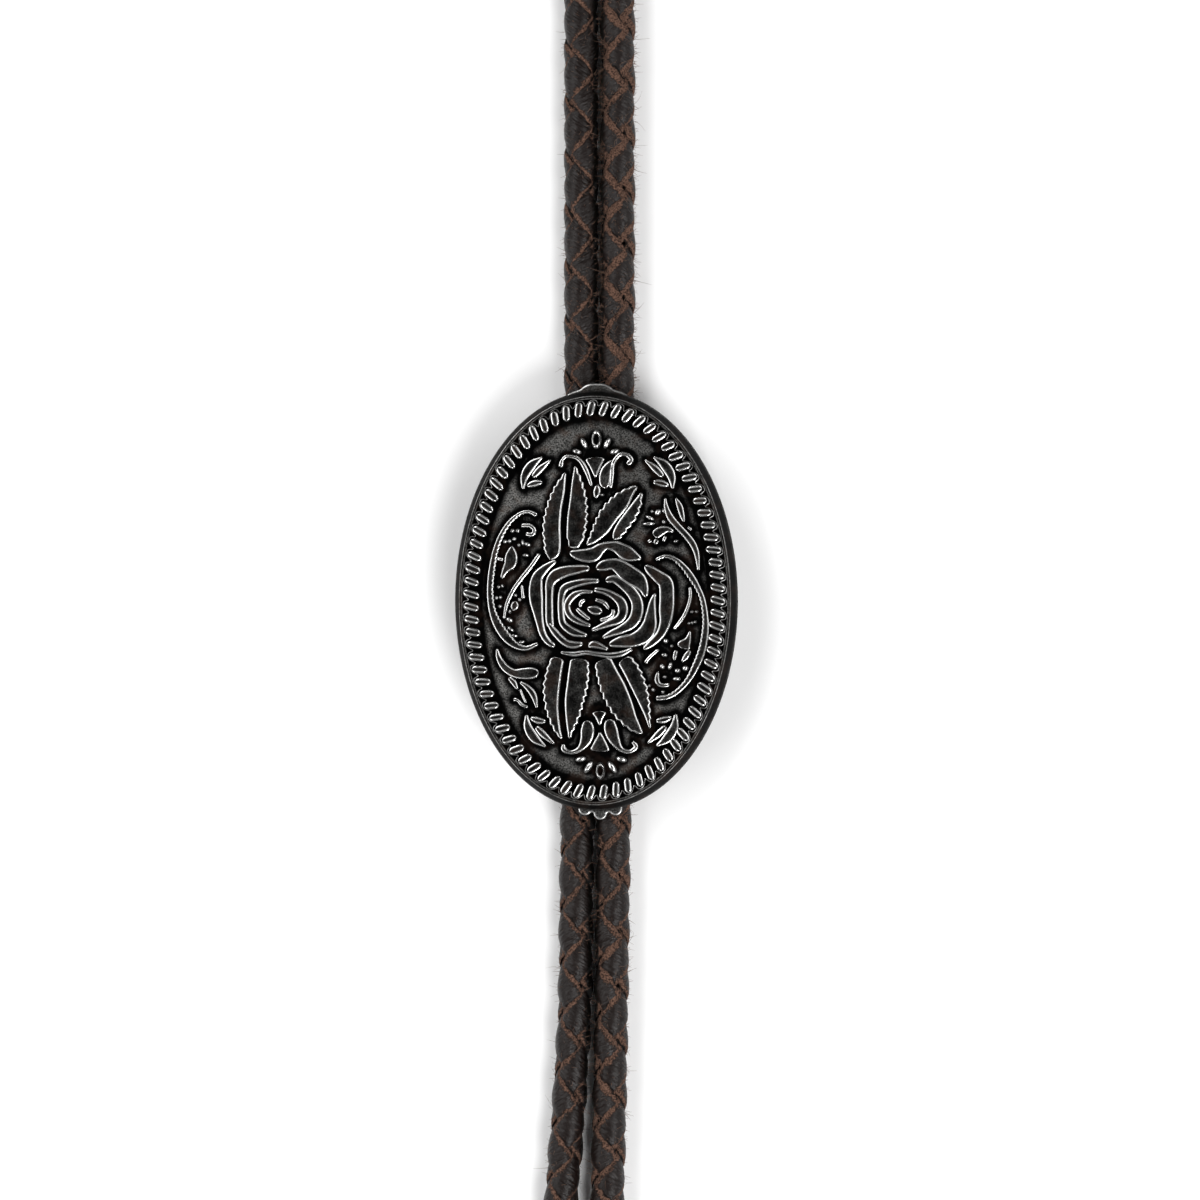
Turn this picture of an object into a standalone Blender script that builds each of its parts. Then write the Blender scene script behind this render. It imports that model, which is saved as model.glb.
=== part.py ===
"""Bolo tie lying face up: a cast oval slide, its back clip, a braided cord and two tips.

Metres, +Z up, +Y along the cords towards the neck loop. The origin is on the surface
under the middle of the slide.
"""

import math

import bmesh
import bpy
import numpy as np

# Cast oval slide
SLIDE_WIDTH = 0.0392
SLIDE_LENGTH = 0.0578
EDGE_THICKNESS = 0.0024
EDGE_FLARE = 0.0008
BACK_CHAMFER = 0.0003
RIM_WIDTH = 0.0005
RIM_RISE = 0.0005
RIM_STEP = 0.00015
ROPE_WIDTH = 0.0020
ROPE_PITCH = 0.00175
ROPE_THICKNESS = 0.0011
ROPE_RISE = 0.0009
ROPE_MARGIN = 0.00025
ROPE_SLANT = math.radians(17.0)
DOME_RISE = 0.0013
RELIEF_RISE = 0.0008
RELIEF_ROOT = 0.0004
RELIEF_SLOPE = 0.00014
LEAF_TOOTH = 0.00022
ORNAMENT_SHIFT = 0.053
ROSE_FULLNESS = 1.45
LEAF_FULLNESS = 1.12
SPRAY_FULLNESS = 1.2
DROP_LARGE = 0.08

# Braided cord and the metal tips on its two ends
CORD_DIAMETER = 0.0048
CORD_REST = 0.00005
CORD_STEP = 0.0126
TIP_LENGTH = 0.057
TIP_WALL = 0.0005
TIP_SOCKET = 0.0125
TIP_COLLAR = 0.0018
TIP_END_DIAMETER = 0.0036

# Back clip
CLIP_THICKNESS = 0.0009
CLIP_GRIP_LENGTH = 0.022
CLIP_TAB_WIDTH = 0.0096
CLIP_TAB_REACH = 0.00135
CLIP_HUMP_REACH = 0.00105
CLIP_TAB_TUCK = 0.0006
CLIP_LOBE_RADIUS = 0.00096
CLIP_LOBE_PITCH = 0.00212
CLIP_LOBE_DROP = 0.0006
CLIP_WRAP = math.radians(50.0)

# Clearances and roundness
GAP = 0.0003
OVAL_SIDES = 64
ARC_STEPS = 7
TIP_SIDES = 20

# The hump's edge: a share of the tab's half width, and of the hump's reach past the slide.
CLIP_HUMP = [(0.0, 1.0), (0.22, 0.97), (0.38, 0.72), (0.5, 0.42), (0.75, 0.28), (0.9, 0.05),
             (1.0, -0.5)]

# The cord's route points, across, along and up from the cord's own height, in metres.
LOOP_ROUTE = [
    (-0.00255, 0.00015, 0.0), (-0.00255, 0.040, 0.0), (-0.00255, 0.080, 0.0),
    (-0.00255, 0.120, 0.0), (-0.00255, 0.160, 0.0), (-0.00255, 0.200, 0.0),
    (-0.00255, 0.224, 0.0), (-0.0031, 0.236, 0.0), (-0.0051, 0.247, 0.0),
    (-0.0087, 0.258, 0.0), (-0.0129, 0.268, 0.0), (-0.0159, 0.278, 0.0),
    (-0.0168, 0.2885, 0.0), (-0.0146, 0.2975, 0.0), (-0.0086, 0.3034, 0.0),
    (0.0, 0.305, 0.0), (0.0086, 0.3034, 0.0), (0.0146, 0.2975, 0.0),
    (0.0168, 0.2885, 0.0), (0.0159, 0.278, 0.0), (0.0129, 0.268, 0.0),
    (0.0087, 0.258, 0.0), (0.0051, 0.247, 0.0), (0.0031, 0.236, 0.0),
    (0.00255, 0.224, 0.0), (0.00255, 0.200, 0.0), (0.00255, 0.160, 0.0),
    (0.00255, 0.120, 0.0), (0.00255, 0.080, 0.0), (0.00255, 0.040, 0.0),
    (0.00255, 0.00015, 0.0),
]
LEFT_ROUTE = [
    (-0.00255, -0.00015, 0.0), (-0.00255, -0.006, 0.0), (-0.00255, -0.012, 0.0),
    (-0.00262, -0.017, 0.0), (-0.00282, -0.023, 0.0), (-0.00305, -0.0295, 0.0),
    (-0.00325, -0.042, 0.0), (-0.00345, -0.056, 0.0), (-0.0042, -0.069, 0.0),
    (-0.0053, -0.0825, 0.0), (-0.0064, -0.095, 0.0001), (-0.00745, -0.106, 0.0004),
    (-0.00845, -0.116, 0.0007), (-0.0092, -0.1235, 0.0008), (-0.00974, -0.1295, 0.0008),
    (-0.01028, -0.1355, 0.0008),
]
RIGHT_ROUTE = [
    (0.00255, -0.00015, 0.0), (0.00255, -0.006, 0.0), (0.00255, -0.012, 0.0),
    (0.0025, -0.017, 0.0), (0.0023, -0.023, 0.0), (0.00205, -0.0295, 0.0),
    (0.00185, -0.042, 0.0), (0.00165, -0.056, 0.0), (0.0014, -0.069, 0.0),
    (0.0011, -0.0825, 0.0), (0.00085, -0.095, 0.0001), (0.0006, -0.106, 0.0004),
    (0.0004, -0.116, 0.0007), (0.00025, -0.1235, 0.0008), (0.00013, -0.1295, 0.0008),
    (0.00001, -0.1355, 0.0008),
]

# Raised ornament of the field. Each stroke has a row a section: across and along are
# shares of the field's half width and half length, wide is a share of its half width.
# The whole ornament sits ORNAMENT_SHIFT of the half width to the right. The strokes of
# the rose, leaves and sprays are wider than their rows by the group's fullness.
ROSE = {
    "top": [(-0.26, 0.262, .03), (-0.17, 0.249, .07), (-0.06, 0.25, .09),
            (0.015, 0.285, .065), (0.07, 0.299, .05), (0.15, 0.292, .07),
            (0.25, 0.255, .09), (0.365, 0.228, .02)],
    "upper_right": [(-0.027, 0.173, .03), (0.034, 0.19, .065), (0.109, 0.199, .07),
                    (0.174, 0.185, .09), (0.258, 0.144, .11), (0.342, 0.108, .10),
                    (0.388, 0.065, .06), (0.405, 0.018, .025)],
    "upper_left": [(-0.085, 0.178, .035), (-0.19, 0.17, .055), (-0.30, 0.158, .07),
                   (-0.385, 0.135, .075), (-0.43, 0.095, .06), (-0.438, 0.03, .05),
                   (-0.438, -0.05, .05), (-0.435, -0.11, .05), (-0.42, -0.15, .04)],
    "lower_left": [(-0.445, -0.125, .025), (-0.405, -0.16, .04), (-0.35, -0.20, .045),
                   (-0.285, -0.233, .045), (-0.22, -0.242, .045), (-0.145, -0.236, .025)],
    "left": [(-0.38, 0.217, .025), (-0.47, 0.178, .05), (-0.54, 0.13, .07),
             (-0.558, 0.07, .085), (-0.553, 0.0, .085), (-0.537, -0.065, .065),
             (-0.52, -0.125, .05), (-0.493, -0.185, .045), (-0.445, -0.228, .04),
             (-0.39, -0.25, .03)],
    "lower_right": [(0.487, 0.04, .015), (0.463, -0.005, .04), (0.449, -0.075, .065),
                    (0.435, -0.137, .09), (0.39, -0.185, .10), (0.30, -0.215, .085),
                    (0.19, -0.225, .07), (0.085, -0.24, .03)],
    "right": [(0.395, 0.19, .025), (0.44, 0.167, .055), (0.51, 0.132, .075),
              (0.575, 0.095, .09), (0.587, 0.03, .09), (0.583, -0.05, .09),
              (0.572, -0.12, .07), (0.53, -0.183, .055), (0.455, -0.232, .045),
              (0.385, -0.265, .025)],
    "third_left": [(0.0, 0.108, .028), (-0.115, 0.104, .04), (-0.23, 0.088, .048),
                   (-0.31, 0.062, .05), (-0.335, 0.0, .042), (-0.333, -0.075, .042),
                   (-0.32, -0.122, .045), (-0.275, -0.152, .05), (-0.21, -0.175, .05),
                   (-0.105, -0.191, .022)],
    "third_right": [(0.055, 0.108, .035), (0.13, 0.117, .05), (0.212, 0.085, .06),
                    (0.285, 0.042, .068), (0.328, -0.01, .072), (0.328, -0.067, .075),
                    (0.286, -0.12, .07), (0.20, -0.155, .055), (0.11, -0.178, .04),
                    (0.028, -0.203, .022)],
    "fourth_right": [(-0.045, 0.06, .03), (0.045, 0.05, .038), (0.12, 0.028, .045),
                     (0.19, -0.01, .06), (0.207, -0.06, .062), (0.17, -0.102, .055),
                     (0.07, -0.128, .042), (-0.065, -0.163, .022)],
    "fourth_left": [(-0.055, 0.047, .018), (-0.15, 0.047, .028), (-0.225, 0.027, .042),
                    (-0.277, -0.015, .042), (-0.277, -0.055, .042), (-0.24, -0.09, .042),
                    (-0.17, -0.117, .038), (-0.075, -0.138, .02)],
    "fifth_upper_left": [(-0.122, 0.004, .02), (-0.158, -0.01, .024), (-0.167, -0.037, .016)],
    "fifth_lower_left": [(-0.2, -0.043, .022), (-0.153, -0.07, .028), (-0.083, -0.105, .022)],
    "fifth_upper_right": [(-0.035, 0.006, .02), (0.043, -0.012, .026), (0.085, -0.046, .018)],
    "fifth_lower_right": [(0.122, -0.048, .02), (0.118, -0.075, .026), (0.08, -0.095, .026),
                          (0.006, -0.108, .02)],
    "bud": [(-0.105, -0.04, .02), (-0.06, -0.05, .05), (-0.02, -0.055, .055),
            (0.027, -0.06, .03)],
    "under_sliver": [(-0.097, -0.252, .018), (-0.04, -0.24, .045), (0.077, -0.266, .018)],
    "lowest": [(-0.34, -0.284, .015), (-0.227, -0.292, .03), (-0.115, -0.284, .028),
               (-0.022, -0.292, .028), (0.09, -0.299, .035), (0.192, -0.29, .035),
               (0.285, -0.264, .02)],
}
# Leaf halves run from the base to the tip; their outer edge is toothed.
LEAF_LEFT_HALVES = {
    "upper_left_outer": [(-0.428, 0.222, .03), (-0.41, 0.262, .115), (-0.409, 0.32, .13),
                         (-0.415, 0.40, .135), (-0.396, 0.50, .118), (-0.353, 0.60, .09),
                         (-0.30, 0.70, .015)],
    "upper_right_outer": [(-0.11, 0.303, .02), (-0.053, 0.335, .07), (0.019, 0.395, .125),
                          (0.087, 0.466, .145), (0.188, 0.540, .135), (0.27, 0.595, .07),
                          (0.325, 0.622, .025)],
}
LEAF_RIGHT_HALVES = {
    "upper_left_inner": [(-0.262, 0.292, .03), (-0.222, 0.325, .12), (-0.207, 0.385, .145),
                         (-0.198, 0.455, .152), (-0.191, 0.55, .13), (-0.203, 0.65, .08),
                         (-0.217, 0.735, .012)],
    "upper_right_inner": [(0.125, 0.333, .03), (0.155, 0.362, .075), (0.20, 0.408, .09),
                          (0.266, 0.465, .092), (0.325, 0.53, .065), (0.365, 0.59, .015)],
}
LEAF_LOWER_RIGHT_HALVES = {
    "lower_left_outer": [(-0.36, -0.312, .10), (-0.387, -0.374, .115), (-0.415, -0.468, .125),
                         (-0.417, -0.562, .105), (-0.399, -0.637, .08), (-0.369, -0.706, .05),
                         (-0.332, -0.758, .01)],
    "lower_right_inner": [(0.03, -0.322, .13), (0.075, -0.405, .165), (0.128, -0.485, .19),
                          (0.196, -0.578, .175), (0.265, -0.652, .12), (0.326, -0.70, .07),
                          (0.375, -0.726, .012)],
}
LEAF_LOWER_LEFT_HALVES = {
    "lower_left_inner": [(-0.175, -0.318, .14), (-0.184, -0.393, .16), (-0.20, -0.468, .16),
                         (-0.224, -0.543, .145), (-0.239, -0.619, .115), (-0.256, -0.687, .065),
                         (-0.268, -0.755, .012)],
    "lower_right_outer": [(0.21, -0.318, .11), (0.278, -0.384, .125), (0.338, -0.468, .115),
                          (0.38, -0.547, .085), (0.412, -0.625, .045), (0.436, -0.70, .01)],
}
TULIPS = {
    "top_left_curl": [(-0.343, 0.729, .045), (-0.329, 0.768, .025), (-0.285, 0.789, .025),
                      (-0.188, 0.774, .028), (-0.121, 0.714, .035), (-0.068, 0.625, .02)],
    "top_middle": [(-0.043, 0.783, .16), (-0.039, 0.73, .085), (-0.037, 0.672, .015)],
    "top_right_petal": [(0.11, 0.765, .03), (0.058, 0.71, .08), (0.045, 0.65, .085),
                        (0.055, 0.612, .04)],
    "top_right_curl": [(0.098, 0.612, .02), (0.108, 0.68, .028), (0.115, 0.745, .03),
                       (0.169, 0.795, .03), (0.232, 0.797, .03), (0.275, 0.768, .035),
                       (0.237, 0.743, .04)],
    "top_calyx": [(-0.019, 0.632, .025), (-0.024, 0.593, .055), (-0.034, 0.559, .02)],
    "low_calyx": [(-0.003, -0.605, .13), (-0.001, -0.638, .065), (0.001, -0.682, .015)],
    "low_left_petal": [(-0.111, -0.656, .06), (-0.106, -0.706, .10), (-0.123, -0.763, .085),
                       (-0.176, -0.811, .045), (-0.251, -0.83, .03), (-0.316, -0.815, .04),
                       (-0.318, -0.785, .025)],
    "low_right_petal": [(0.083, -0.65, .07), (0.098, -0.706, .10), (0.13, -0.763, .08),
                        (0.183, -0.811, .04), (0.258, -0.825, .03), (0.315, -0.8, .035),
                        (0.285, -0.77, .025)],
    "low_middle": [(0.003, -0.718, .012), (0.003, -0.769, .085), (0.0, -0.825, .16)],
}
CORNER_SPRIG = {
    "outer_blade": [(0.645, 0.61, .02), (0.632, 0.68, .065), (0.57, 0.742, .07),
                    (0.475, 0.785, .015)],
    "inner_blade": [(0.56, 0.676, .04), (0.49, 0.722, .05), (0.40, 0.77, .015)],
    "lobe": [(0.61, 0.627, .025), (0.55, 0.64, .05), (0.475, 0.648, .03)],
}
CORNERS = [(1, 1, -0.01, 0.0), (-1, 1, -0.03, 0.0), (-1, -1, 0.0, -0.015), (1, -1, 0.015, -0.01)]
SCROLLS = {
    "left_crescent": [(-0.55, 0.467, .032), (-0.62, 0.487, .022), (-0.70, 0.477, .025),
                      (-0.79, 0.432, .03), (-0.87, 0.357, .035), (-0.922, 0.27, .04),
                      (-0.955, 0.16, .045), (-0.968, 0.05, .045), (-0.95, -0.05, .05),
                      (-0.90, -0.13, .065), (-0.825, -0.198, .07), (-0.74, -0.245, .05),
                      (-0.64, -0.262, .035), (-0.54, -0.236, .028)],
    "left_stem": [(-0.523, 0.256, .028), (-0.60, 0.187, .03), (-0.69, 0.117, .03),
                  (-0.76, 0.055, .03), (-0.815, -0.02, .028), (-0.84, -0.10, .018)],
    "left_maple": [(-0.77, 0.298, .02), (-0.775, 0.25, .09), (-0.785, 0.205, .095),
                   (-0.83, 0.165, .05), (-0.862, 0.122, .025)],
    "left_maple_lobe": [(-0.905, 0.23, .02), (-0.848, 0.224, .028)],
    "left_curl": [(-0.69, 0.411, .03), (-0.61, 0.41, .03), (-0.572, 0.386, .03),
                  (-0.592, 0.361, .033), (-0.65, 0.366, .028)],
    "left_bell": [(-0.735, -0.003, .035), (-0.745, -0.03, .06), (-0.762, -0.055, .025)],
    "left_twig": [(-0.68, 0.087, .018), (-0.675, 0.045, .022), (-0.667, 0.008, .03)],
    "left_horn": [(-0.905, -0.262, .018), (-0.885, -0.318, .045), (-0.83, -0.368, .06),
                  (-0.75, -0.398, .065), (-0.665, -0.4, .085), (-0.59, -0.397, .085),
                  (-0.535, -0.392, .05)],
    "left_blade": [(-0.70, -0.446, .02), (-0.632, -0.476, .042), (-0.578, -0.522, .048),
                   (-0.55, -0.588, .018)],
    "left_spur": [(-0.80, -0.421, .028), (-0.755, -0.45, .042), (-0.722, -0.487, .02)],
    "left_foot": [(-0.762, -0.541, .035), (-0.72, -0.547, .024), (-0.685, -0.57, .026),
                  (-0.63, -0.585, .02)],
    "left_hair": [(-0.698, -0.485, .015), (-0.677, -0.52, .016), (-0.648, -0.56, .015)],
    "right_horn": [(0.57, 0.56, .015), (0.58, 0.51, .035), (0.615, 0.455, .05),
                   (0.68, 0.405, .05), (0.75, 0.358, .05), (0.81, 0.308, .05),
                   (0.845, 0.25, .04), (0.86, 0.165, .018)],
    "right_prong": [(0.66, 0.56, .015), (0.695, 0.515, .045), (0.715, 0.47, .04),
                    (0.732, 0.43, .02)],
    "right_spur": [(0.765, 0.402, .02), (0.80, 0.384, .018)],
    "right_bell": [(0.645, 0.375, .02), (0.59, 0.388, .045), (0.53, 0.378, .07),
                   (0.475, 0.352, .07)],
    "bell_prong_a": [(0.448, 0.33, .03), (0.425, 0.318, .022)],
    "bell_prong_b": [(0.503, 0.333, .038), (0.482, 0.308, .03)],
    "bell_prong_c": [(0.575, 0.352, .026), (0.556, 0.322, .026)],
    "right_crescent": [(0.49, 0.222, .024), (0.57, 0.243, .025), (0.66, 0.226, .03),
                       (0.74, 0.18, .04), (0.805, 0.125, .045), (0.86, 0.065, .036),
                       (0.90, 0.0, .036), (0.923, -0.10, .04), (0.917, -0.19, .048),
                       (0.887, -0.28, .052), (0.84, -0.355, .05), (0.775, -0.43, .04),
                       (0.69, -0.49, .035), (0.60, -0.525, .034), (0.49, -0.535, .036)],
    "right_stem": [(0.785, 0.075, .02), (0.79, 0.03, .024), (0.778, -0.015, .025),
                   (0.745, -0.07, .026), (0.70, -0.115, .026), (0.645, -0.157, .016)],
    "right_maple_up": [(0.787, -0.165, .014), (0.77, -0.21, .045), (0.735, -0.245, .10),
                       (0.725, -0.262, .10)],
    "right_maple_out": [(0.785, -0.272, .03), (0.755, -0.302, .04), (0.715, -0.335, .022)],
    "right_maple_in": [(0.668, -0.272, .03), (0.655, -0.30, .03), (0.65, -0.328, .014)],
    "right_hook": [(0.51, -0.39, .02), (0.50, -0.43, .036), (0.52, -0.457, .032),
                   (0.57, -0.464, .03), (0.607, -0.458, .03)],
    "right_sprig": [(0.398, -0.342, .026), (0.44, -0.308, .025), (0.516, -0.266, .02)],
}
# Drops and berries: across, along, length and width as shares of the field's half
# width, and the turn of the length from the across direction in degrees.
DROPS = [
    (-0.034, 0.882, .155, .080, 90), (-0.143, 0.862, .105, .048, 118),
    (0.062, 0.862, .105, .048, 62), (-0.205, 0.815, .085, .045, 165),
    (0.128, 0.815, .085, .045, 15), (0.02, 0.578, .04, .03, 0),
    (-0.172, -0.868, .10, .048, 10), (-0.104, -0.912, .12, .052, 55),
    (0.0, -0.932, .14, .075, 90), (0.105, -0.912, .12, .052, 125),
    (0.185, -0.868, .10, .048, 165),
    (-0.770, 0.383, .04, .04, 0), (-0.722, 0.383, .04, .04, 0),
    (-0.836, 0.323, .04, .04, 0), (-0.795, 0.325, .036, .036, 0),
    (-0.752, 0.338, .04, .032, 20), (-0.712, 0.303, .032, .032, 0),
    (-0.677, 0.318, .05, .028, 100), (-0.632, 0.307, .06, .036, 160),
    (-0.650, 0.248, .06, .03, 0), (-0.892, 0.075, .034, .034, 0),
    (-0.858, 0.08, .03, .034, 0), (-0.91, 0.015, .032, .032, 0),
    (-0.874, 0.017, .032, .032, 0), (-0.878, -0.032, .04, .036, 0),
    (-0.742, 0.03, .036, .03, 0), (-0.703, 0.005, .034, .036, 0),
    (-0.79, -0.06, .04, .03, 80), (-0.796, -0.105, .07, .04, 155),
    (-0.785, -0.156, .075, .03, 145), (-0.755, -0.193, .075, .028, 175),
    (-0.69, -0.229, .07, .028, 15),
    (0.661, 0.324, .045, .028, 15), (0.557, 0.43, .036, .036, 0),
    (0.557, 0.488, .05, .026, 110), (0.505, 0.482, .06, .048, 40),
    (0.455, 0.487, .03, .03, 0), (0.436, 0.452, .085, .028, 155),
    (0.425, 0.419, .11, .032, 0), (0.80, -0.061, .03, .028, 0),
    (0.84, -0.06, .03, .028, 0), (0.775, -0.124, .028, .026, 0),
    (0.803, -0.121, .028, .028, 0), (0.83, -0.117, .028, .028, 0),
    (0.575, -0.22, .045, .04, 0), (0.627, -0.248, .028, .028, 0),
    (0.562, -0.297, .055, .034, 170), (0.543, -0.36, .05, .04, 120),
    (0.612, -0.356, .07, .036, 70), (0.676, -0.383, .05, .042, 0),
    (0.744, -0.37, .055, .048, 0), (0.565, -0.417, .04, .03, 0),
    (0.668, -0.428, .07, .034, 175), (0.433, -0.464, .026, .026, 0),
    (0.464, -0.487, .034, .034, 0), (0.55, -0.50, .034, .036, 0),
]

# Worked out from the sizes above
CORD_RADIUS = CORD_DIAMETER / 2
CORD_Z = CORD_RADIUS + CORD_REST
CLIP_CENTRE = abs(LOOP_ROUTE[0][0])
CLIP_INNER = CORD_RADIUS + GAP
CLIP_OUTER = CLIP_INNER + CLIP_THICKNESS
CLIP_TOP = CORD_Z + CLIP_OUTER
BACK_Z = CLIP_TOP + GAP
FACE_Z = BACK_Z + EDGE_THICKNESS - RIM_RISE
HALF_WIDTH = SLIDE_WIDTH / 2
HALF_LENGTH = SLIDE_LENGTH / 2
ROPE_INSET = EDGE_FLARE + RIM_WIDTH + RIM_STEP + ROPE_MARGIN / 2 + ROPE_WIDTH / 2
FIELD_INSET = ROPE_INSET + ROPE_WIDTH / 2 + ROPE_MARGIN
FIELD_HALF_WIDTH = HALF_WIDTH - FIELD_INSET
FIELD_HALF_LENGTH = HALF_LENGTH - FIELD_INSET


def clear_scene():
    for thing in list(bpy.data.objects):
        bpy.data.objects.remove(thing, do_unlink=True)


def finish(name, colour, roughness, metallic):
    """A plain surface finish with one colour."""
    material = bpy.data.materials.new(name)
    material.use_nodes = True
    shader = material.node_tree.nodes["Principled BSDF"]
    shader.inputs["Base Color"].default_value = (*colour, 1.0)
    shader.inputs["Roughness"].default_value = roughness
    shader.inputs["Metallic"].default_value = metallic
    material.diffuse_color = (*colour, 1.0)
    return material


def solid(name, points, faces, material=None):
    """A mesh object whose closed bodies all have their faces pointing out."""
    mesh = bpy.data.meshes.new(name)
    mesh.from_pydata([tuple(map(float, p)) for p in points], [], [list(map(int, f)) for f in faces])
    body = bmesh.new()
    body.from_mesh(mesh)
    bmesh.ops.recalc_face_normals(body, faces=body.faces)
    body.to_mesh(mesh)
    body.free()
    made = bpy.data.objects.new(name, mesh)
    bpy.context.collection.objects.link(made)
    if material:
        mesh.materials.append(material)
    return made


def join_with(target, guide):
    """Fuse a guide's solids to a target with a Boolean, and hide the guide."""
    guide.hide_render = True
    guide.display_type = "WIRE"
    modifier = target.modifiers.new("fuse_" + guide.name, "BOOLEAN")
    modifier.operation = "UNION"
    modifier.object = guide
    modifier.solver = "EXACT"
    modifier.use_self = True


def oval(half_width, half_length, sides):
    angle = np.arange(sides) * 2 * math.pi / sides
    return np.column_stack([half_width * np.cos(angle), half_length * np.sin(angle)])


def face_height(across, along):
    """Height of the slide's face: flat under the rope, and a low dome in the field."""
    reach = (across / FIELD_HALF_WIDTH) ** 2 + (along / FIELD_HALF_LENGTH) ** 2
    return FACE_Z + DOME_RISE * np.maximum(0.0, 1.0 - reach)


def slide_plate(material):
    """The cast plate without its ornament, as rings from the back's middle to the face's."""
    rim_top = FACE_Z + RIM_RISE
    rim_in = EDGE_FLARE + RIM_WIDTH
    rings = [
        (BACK_CHAMFER, BACK_Z), (0.0, BACK_Z + BACK_CHAMFER), (EDGE_FLARE, rim_top),
        (rim_in, rim_top), (rim_in + RIM_STEP, FACE_Z), (FIELD_INSET, FACE_Z),
    ]
    levels = []
    for inset, height in rings:
        ring = oval(HALF_WIDTH - inset, HALF_LENGTH - inset, OVAL_SIDES)
        levels.append(np.column_stack([ring, np.full(OVAL_SIDES, height)]))
    for share in (0.75, 0.5, 0.25):
        ring = oval(FIELD_HALF_WIDTH * share, FIELD_HALF_LENGTH * share, OVAL_SIDES)
        levels.append(np.column_stack([ring, face_height(ring[:, 0], ring[:, 1])]))
    points = np.vstack(levels + [[[0.0, 0.0, face_height(0.0, 0.0)]]])
    faces = [list(range(OVAL_SIDES))[::-1]]
    for level in range(len(levels) - 1):
        for side in range(OVAL_SIDES):
            after = (side + 1) % OVAL_SIDES
            low = level * OVAL_SIDES
            faces.append([low + side, low + after, low + OVAL_SIDES + after, low + OVAL_SIDES + side])
    last = (len(levels) - 1) * OVAL_SIDES
    middle = len(points) - 1
    faces += [[last + side, last + (side + 1) % OVAL_SIDES, middle] for side in range(OVAL_SIDES)]
    return solid("concho", points, faces, material)


def smooth_rows(rows, per_span):
    """The rows, read again from a Catmull-Rom curve through them."""
    rows = np.array(rows, float)
    ends = np.vstack([2 * rows[0] - rows[1], rows, 2 * rows[-1] - rows[-2]])
    out = []
    for k in range(len(rows) - 1):
        before, start, end, after = ends[k:k + 4]
        for share in np.arange(per_span) / per_span:
            out.append(0.5 * (2 * start + (end - before) * share
                              + (2 * before - 5 * start + 4 * end - after) * share ** 2
                              + (3 * start - before - 3 * end + after) * share ** 3))
    out.append(rows[-1])
    return np.array(out)


def stroke(rows, tooth_side=0, fullness=1.0):
    """Points and faces of one raised stroke: a flat top with sloped walls."""
    per_span = 2 if tooth_side or len(rows) < 5 else 1
    path = smooth_rows(rows, per_span)
    middle = (path[:, :2] + (ORNAMENT_SHIFT, 0)) * (FIELD_HALF_WIDTH, FIELD_HALF_LENGTH)
    along = np.gradient(middle, axis=0)
    along /= np.linalg.norm(along, axis=1)[:, None]
    side = np.column_stack([-along[:, 1], along[:, 0]])
    half = path[:, 2] * FIELD_HALF_WIDTH / 2 * fullness
    tooth = np.zeros(len(path))
    tooth[1:-1:2] = LEAF_TOOTH
    left = half + tooth * (tooth_side > 0)
    right = half + tooth * (tooth_side < 0)
    slope = np.minimum(RELIEF_SLOPE, half * 0.45)
    return wall_stack(middle + side * left[:, None], middle - side * right[:, None],
                      side * slope[:, None], RELIEF_RISE)


def wall_stack(left, right, slope, rise):
    """A closed ribbon between two edges: the root under the face and a narrower top."""
    low_left = np.column_stack([left, face_height(*left.T) - RELIEF_ROOT])
    low_right = np.column_stack([right, face_height(*right.T) - RELIEF_ROOT])
    top_left = left - slope
    top_right = right + slope
    high_left = np.column_stack([top_left, face_height(*top_left.T) + rise])
    high_right = np.column_stack([top_right, face_height(*top_right.T) + rise])
    points = np.stack([low_left, high_left, high_right, low_right], axis=1).reshape(-1, 3)
    faces = [[0, 1, 2, 3], [len(points) - 1 - k for k in range(4)]]
    for row in range(len(left) - 1):
        at = 4 * row
        for corner in range(4):
            after = (corner + 1) % 4
            faces.append([at + corner, at + after, at + 4 + after, at + 4 + corner])
    return points, faces


def drop(across, along, length, width, turn):
    """Points and faces of one low drop: a ring at its root and a smaller flat crown."""
    sides = 8 if length > DROP_LARGE else 5
    angle = np.arange(sides) * 2 * math.pi / sides
    spin = math.radians(turn)
    axis = np.array([[math.cos(spin), math.sin(spin)], [-math.sin(spin), math.cos(spin)]])
    shape = np.column_stack([np.cos(angle) * length / 2, np.sin(angle) * width / 2])
    ring = shape @ axis * FIELD_HALF_WIDTH
    centre = np.array([(across + ORNAMENT_SHIFT) * FIELD_HALF_WIDTH, along * FIELD_HALF_LENGTH])
    levels = []
    for share, rise in ((1.0, -RELIEF_ROOT), (0.65, RELIEF_RISE)):
        place = centre + ring * share
        levels.append(np.column_stack([place, face_height(*place.T) + rise]))
    faces = [list(range(sides))[::-1], list(range(sides, 2 * sides))]
    for k in range(sides):
        after = (k + 1) % sides
        faces.append([k, after, sides + after, sides + k])
    return np.vstack(levels), faces


def rope_places():
    """Even places round the rope border: point, outward direction and number."""
    dense = oval(HALF_WIDTH - ROPE_INSET, HALF_LENGTH - ROPE_INSET, 1440)
    closed = np.vstack([dense, dense[:1]])
    run = np.concatenate([[0.0], np.cumsum(np.linalg.norm(np.diff(closed, axis=0), axis=1))])
    count = max(3, round(run[-1] / ROPE_PITCH))
    at = np.arange(count) * run[-1] / count
    place = np.column_stack([np.interp(at, run, closed[:, 0]), np.interp(at, run, closed[:, 1])])
    out = place / np.array([HALF_WIDTH - ROPE_INSET, HALF_LENGTH - ROPE_INSET]) ** 2
    return place, out / np.linalg.norm(out, axis=1)[:, None]


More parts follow.
